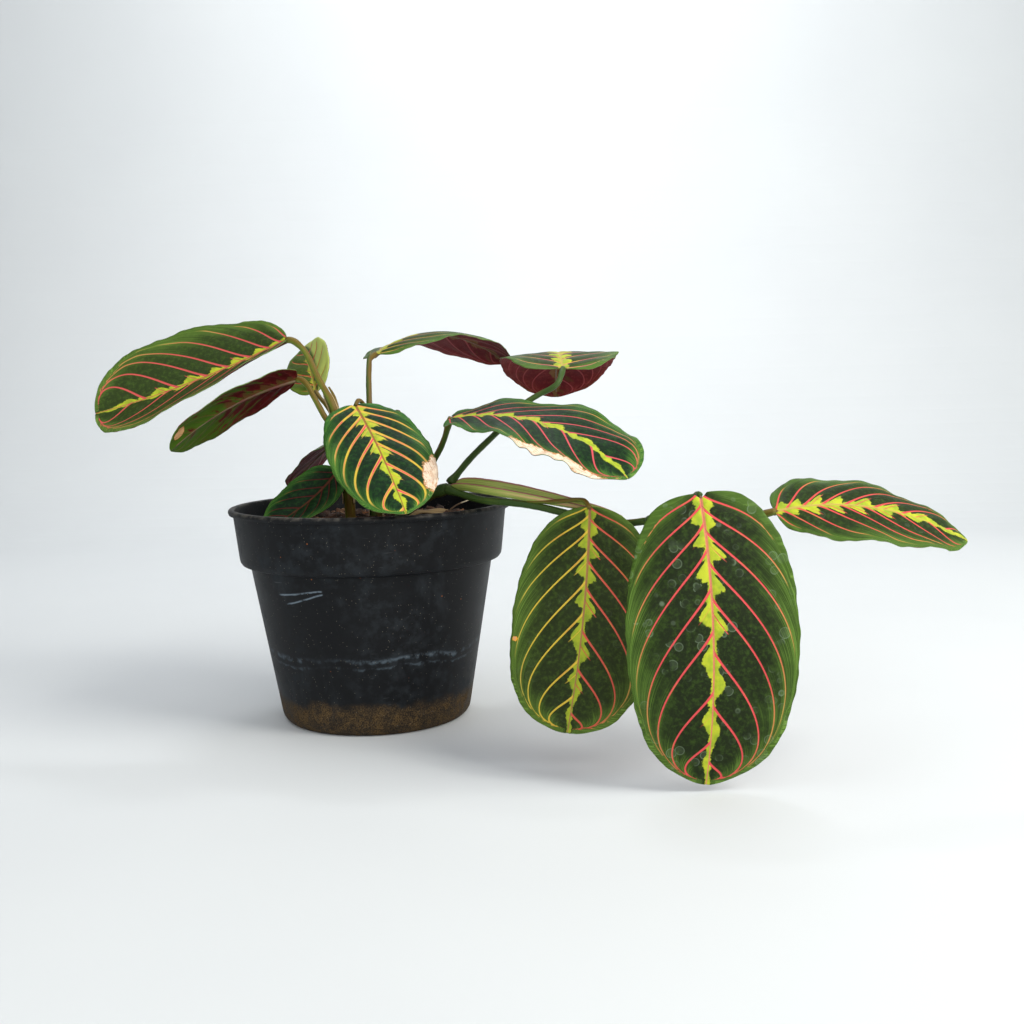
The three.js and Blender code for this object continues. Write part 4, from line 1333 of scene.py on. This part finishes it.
class PLANT_OT_pot(bpy.types.Operator):
    """Add the nursery pot with its band, rolled lip and drain holes"""

    bl_idname = "plant.pot"
    bl_label = "Pot"

    def execute(self, context):
        pot = settings().pot
        drills = bmesh.new()
        for i in range(HOLES):
            turn = 2 * math.pi * (i + 0.5) / HOLES
            middle = Matrix.Translation((HOLE_CIRCLE * math.cos(turn), HOLE_CIRCLE * math.sin(turn), 0))
            bmesh.ops.create_cone(
                drills, cap_ends=True, segments=32, radius1=HOLE_RADIUS, radius2=HOLE_RADIUS, depth=HOLE_DEPTH,
                matrix=middle,
            )
        drill = bpy.data.objects.new("drills", mesh_of(drills, "drills"))
        context.scene.collection.objects.link(drill)

        def cut_holes(body):
            cut = body.modifiers.new("Holes", "BOOLEAN")
            cut.operation = "DIFFERENCE"
            cut.solver = "EXACT"
            cut.object = drill

        mesh = modified_mesh(turned_mesh("pot", pot_outline(pot), pot.steps), cut_holes)
        bpy.data.objects.remove(drill)
        finish_piece("nursery_pot", mesh, [pot_material()], "pot_plastic", "pot")
        mesh.set_sharp_from_angle(angle=math.radians(SHARP_ANGLE))
        return {"FINISHED"}


def soil_height(x, y):
    """Height in millimetres of the soil's uneven surface."""
    out = np.hypot(x, y) / SOIL_REACH
    mound = SOIL_MOUND * np.maximum(0, 1 - out * out)
    lumps = 0.9 * np.sin(x * 0.16 + 1.3) * np.cos(y * 0.19) + 0.5 * np.sin(x * 0.41 - y * 0.33)
    return SOIL_TOP + mound + lumps


def ground_mesh():
    """The soil body: it fills the pot, and its top is rough."""
    wall = settings().pot.wall + SOIL_GAP
    edge = np.interp(SOIL_TOP * MM, BAND_HEIGHTS, BAND_RADII) - wall
    outline = [
        (0.0, POT_FLOOR + SOIL_GAP), (POT_BASE[0] - wall, POT_FLOOR + SOIL_GAP),
        (WALL_FOOT[0] - wall, WALL_FOOT[1] + SOIL_GAP), (WALL_TOP[0] - wall, 0.0774), (BAND_FOOT[0] - wall, 0.0812),
    ]
    outline += [(edge * (1 - i / GROUND_RINGS), SOIL_TOP * MM) for i in range(GROUND_RINGS + 1)]
    mesh = turned_mesh("ground", outline, GROUND_STEPS)
    places = places_of(mesh)
    top = places[:, 2] > (SOIL_TOP - 0.05) * MM
    x, y = places[top, 0] / MM, places[top, 1] / MM
    rough = np.array([
        LUMPS * noise.fractal(Vector((a * 0.22, b * 0.22, 0.0)), 0.9, 2.1, 4)
        + GRAINS * noise.noise(Vector((a * 0.9, b * 0.9, 5.0)))
        for a, b in zip(x, y)
    ])
    fade = np.clip((edge / MM - np.hypot(x, y)) / GROUND_FADE, 0, 1)
    places[top, 2] = (SOIL_TOP * (1 - fade) + (soil_height(x, y) + rough - 0.3) * fade) * MM
    set_places(mesh, places)
    return mesh


def chip_seeds(dice):
    """A few rough blocks that the bark chips are copies of."""
    seeds = []
    for _ in range(CHIP_SHAPES):
        block = bmesh.new()
        block.verts.layers.float.new("tone")
        bmesh.ops.create_cube(block, size=1)
        bmesh.ops.subdivide_edges(block, edges=block.edges, cuts=1, use_grid_fill=True)
        for vertex in block.verts:
            pull = Vector([dice.uniform(-CHIP_PULL, CHIP_PULL) for _ in range(3)])
            vertex.co = vertex.co.normalized() * (0.35 + 0.35 * vertex.co.length) + pull
        seeds.append(mesh_of(block, "chip"))
    return seeds


def scatter(whole, seeds, dice, count, sizes, reach, lift):
    """Copies of rough blocks lying in the soil, each with a tone of its own."""
    for _ in range(count):
        start = len(whole.verts)
        whole.from_mesh(dice.choice(seeds))
        size = [dice.uniform(low, high) for low, high in sizes]
        radius = reach * math.sqrt(dice.random())
        around = dice.uniform(0, 2 * math.pi)
        x, y = radius * math.cos(around), radius * math.sin(around)
        turn = Matrix.Rotation(dice.uniform(0, 2 * math.pi), 4, "Z")
        for axis in ("X", "Y"):
            turn = turn @ Matrix.Rotation(dice.gauss(0, CHIP_TILT), 4, axis)
        middle = Matrix.Translation((x, y, soil_height(x, y) + lift * size[2]))
        whole.verts.ensure_lookup_table()
        corners = whole.verts[start:]
        placed = Matrix.Scale(MM, 4) @ middle @ turn @ Matrix.Diagonal((*size, 1))
        bmesh.ops.transform(whole, verts=corners, matrix=placed)
        shade = dice.random()
        tone = whole.verts.layers.float["tone"]
        for corner in corners:
            corner[tone] = shade


def litter_mesh(soil, dice):
    """Bark chips and crumbs."""
    seeds = chip_seeds(dice)
    litter = bmesh.new()
    scatter(litter, seeds, dice, soil.chips, **CHIPS)
    scatter(litter, seeds, dice, soil.crumbs, **CRUMBS)
    for seed in seeds:
        bpy.data.meshes.remove(seed)
    return mesh_of(litter, "litter")


def fibre_parts(dice, count, material_index):
    """Coir fibres that lie curled on the soil with their ends in it."""
    parts = []
    shares = np.linspace(-1, 1, FIBRE_POINTS)
    for _ in range(count):
        radius = FIBRE_SPREAD * math.sqrt(dice.random())
        around = dice.uniform(0, 2 * math.pi)
        aim = dice.uniform(0, 2 * math.pi)
        half = dice.uniform(*FIBRE_HALF_LENGTHS)
        bend = dice.uniform(*FIBRE_BENDS)
        x, y = radius * math.cos(around), radius * math.sin(around)
        line = []
        for share in shares:
            px = x + half * share * math.cos(aim) - bend * (1 - share**2) * math.sin(aim)
            py = y + half * share * math.sin(aim) + bend * (1 - share**2) * math.cos(aim)
            held = max(math.hypot(px, py) / FIBRE_REACH, 1)
            px, py = px / held, py / held
            lift = dice.uniform(*FIBRE_LIFTS) * (1 - share**2) - 1.2 * share**2
            line.append((px, py, soil_height(px, py) + lift))
        radii = FIBRE_RADIUS * (2 - shares**2)
        parts.append((tube_mesh("fibre", line, radii, 5), material_index))
    return parts


def scrap_parts(scrap_index, twig_index):
    """A dried leaf scrap and a broken twig on the soil."""
    mesh, column, row = grid_mesh("scrap", 24, 10)
    width = 3.4 * np.sin(np.pi * (0.08 + 0.9 * row)) ** 0.7
    x = 17 + 21 * row
    y = 4 + 7 * row + width * column
    z = SOIL_TOP + 4.2 + 1.8 * np.sin(2.8 * row) - 1.8 * column**2 + 0.4 * np.sin(9 * row + 2 * column)
    set_places(mesh, np.stack([x, y, z], -1) * MM)
    add_stem_uv(mesh, column, 20 * row)
    line, stations = smooth_line([(37, 2, 98), (40, 4, 102.5), (44, 6, 105), (49.5, 8, 106.8)], 0.8)
    twig = tube_mesh("twig", line, 0.65 - 0.02 * stations, 8, 0.08)
    return [(thickened(mesh, SCRAP_THICKNESS), scrap_index), (twig, twig_index)]


def soil_material():
    """Damp crumbs with lighter dry ones on top."""
    look = settings().soil
    g = material_graph("soil_ground")
    coarse = g.noise(g.place(), 220.0, 5.0, 0.7)
    fine = g.noise(g.place(), 1300.0, 3.0)
    colour = g.coats(look.dark, (coarse.rise(0.35, 0.7), look.light), (fine.rise(0.6, 0.75) * 0.5, 0x7A5F45))
    return g.surface(colour, 0.95, (coarse + fine * 0.4, 0.0012, 0.9))


def chip_material():
    """Bark chips, each from nearly black to tan, with a fibrous grain."""
    g = material_graph("soil_chips")
    tone = g.run("ShaderNodeAttribute", {}, "Fac", attribute_name="tone")
    colour = g.ramp(tone, [(0.0, 0x130D0A), (0.45, 0x2A1B13), (0.75, 0x4A3020), (0.93, 0x6E4B30), (1.0, 0xA98A66)])
    grain = g.noise(g.place(), 700.0, 4.0, 0.7)
    return g.surface(g.mix(grain.rise(0.4, 0.7) * 0.5, colour, 0x5E4430), 0.9, (grain, 0.0006, 0.8))


def fibre_material():
    """Orange-brown coir."""
    g = material_graph("soil_fibres")
    return g.surface(g.mix(g.noise(g.place(), 90.0), 0xA5642C, 0x5C3A20), 0.7)


def scrap_material():
    """Papery tan leaf with brown lines."""
    g = material_graph("leaf_scrap")
    _, _, lines = g.lines(16.0, 0.08, 4.0)
    return g.surface(g.mix(lines.rise(0.4, 0.65), 0xA38A5E, 0x5E4A2C), 0.7, (lines, 0.0003, 0.8))


def twig_material():
    """Brown bark with a pale broken end."""
    g = material_graph("twig")
    _, along = g.uv("Stem")
    bark = g.mix(g.noise(g.place(), 500.0, 3.0), 0x6A5238, 0x352618)
    return g.surface(g.mix(along.rise(11.5, 13.0), bark, 0xC9BEA2), 0.7)


class PLANT_OT_soil(bpy.types.Operator):
    """Add the potting soil with bark chips, crumbs, coir fibres, a leaf scrap and a twig"""

    bl_idname = "plant.soil"
    bl_label = "Soil"

    def execute(self, context):
        soil = settings().soil
        dice = random.Random(11)
        litter = litter_mesh(soil, dice)
        parts = [(ground_mesh(), 0), (litter, 1), *fibre_parts(dice, soil.fibres, 2), *scrap_parts(3, 4)]
        materials = [soil_material(), chip_material(), fibre_material(), scrap_material(), twig_material()]
        finish_piece("potting_soil", joined_mesh("potting_soil", parts), materials, "potting_soil", "soil")
        return {"FINISHED"}


class PLANT_OT_stage(bpy.types.Operator):
    """Add the pale floor, the soft lights and the camera"""

    bl_idname = "plant.stage"
    bl_label = "Stage"

    def execute(self, context):
        self.add_floor(context)
        self.add_camera(context)
        self.add_lights(context)
        return {"FINISHED"}

    def add_floor(self, context):
        """A floor that curves up into a wall far behind the pot."""
        mesh, side, share = grid_mesh("floor", 160, 1)
        run = share * FLOOR_LENGTH - FLOOR_FRONT
        turn = np.clip((run - BEND_START) / BEND_RADIUS, 0, math.pi / 2)
        past = np.maximum(run - BEND_START - BEND_RADIUS * math.pi / 2, 0)
        back = np.minimum(run, BEND_START) + BEND_RADIUS * np.sin(turn)
        height = BEND_RADIUS * (1 - np.cos(turn)) + past
        set_places(mesh, np.stack([FLOOR_HALF_WIDTH * side, back, height], -1))
        g = material_graph("floor_paint")
        cloud = g.noise(g.place(), 6.0, 3.0)
        mesh.materials.append(g.surface(g.mix(cloud, settings().stage.floor, 0xD4D8DB), 0.7))
        floor = bpy.data.objects.new("floor", mesh)
        context.scene.collection.objects.link(floor)

    def add_camera(self, context):
        stage = settings().stage
        data = bpy.data.cameras.new("camera")
        data.lens = stage.lens
        data.sensor_width = SENSOR_WIDTH
        camera = bpy.data.objects.new("camera", data)
        level = Matrix.Rotation(stage.yaw, 3, "Z") @ Matrix.Rotation(math.radians(90) - stage.pitch, 3, "X")
        turned = level @ Matrix.Rotation(stage.roll, 3, "Z")
        camera.matrix_world = Matrix.Translation(stage.camera) @ turned.to_4x4()
        context.scene.collection.objects.link(camera)
        context.scene.camera = camera

    def add_lights(self, context):
        for name, place, aim, size, power, colour in LAMPS:
            data = bpy.data.lights.new(name, "AREA")
            data.shape = "SQUARE"
            data.size = size
            data.energy = power
            data.color = linear(colour)[:3]
            lamp = bpy.data.objects.new(name, data)
            lamp.location = place
            lamp.rotation_euler = (Vector(aim) - Vector(place)).to_track_quat("-Z", "Y").to_euler()
            context.scene.collection.objects.link(lamp)
        world = bpy.data.worlds.new("studio")
        world.use_nodes = True
        background = world.node_tree.nodes["Background"]
        background.inputs["Color"].default_value = linear(AMBIENT_COLOUR)
        background.inputs["Strength"].default_value = AMBIENT_STRENGTH
        context.scene.world = world
        context.scene.view_settings.view_transform = "Standard"


class PLANT_PT_panel(bpy.types.Panel):
    """Lists the plant's pieces and their settings"""

    bl_idname = "PLANT_PT_panel"
    bl_label = "Prayer Plant"
    bl_space_type = "VIEW_3D"
    bl_region_type = "UI"
    bl_category = "Plant"

    def draw(self, context):
        layout = self.layout
        for name in ("blade", "stem", "pot", "soil", "stage"):
            group = getattr(settings(), name)
            box = layout.box()
            box.label(text=name.title())
            for prop in type(group).__annotations__:
                box.prop(group, prop)
        for operator in OPERATORS:
            layout.operator(operator.bl_idname)


GROUPS = (BladeSettings, StemSettings, PotSettings, SoilSettings, StageSettings, PlantSettings)
OPERATORS = (PLANT_OT_stage, PLANT_OT_pot, PLANT_OT_soil, PLANT_OT_shoots, PLANT_OT_sheath, PLANT_OT_leaf_blades)


def register():
    for item in (*GROUPS, *OPERATORS, PLANT_PT_panel):
        bpy.utils.register_class(item)
    bpy.types.Scene.prayer_plant = PointerProperty(
        type=PlantSettings, name="Prayer Plant", description="Settings of the prayer plant",
    )


def unregister():
    del bpy.types.Scene.prayer_plant
    for item in reversed((*GROUPS, *OPERATORS, PLANT_PT_panel)):
        bpy.utils.unregister_class(item)


def main():
    register()
    bpy.ops.plant.stage()
    bpy.ops.plant.pot()
    bpy.ops.plant.soil()
    bpy.ops.plant.shoots()
    bpy.ops.plant.sheath()
    bpy.ops.plant.leaf_blades()


if __name__ == "__main__":
    main()
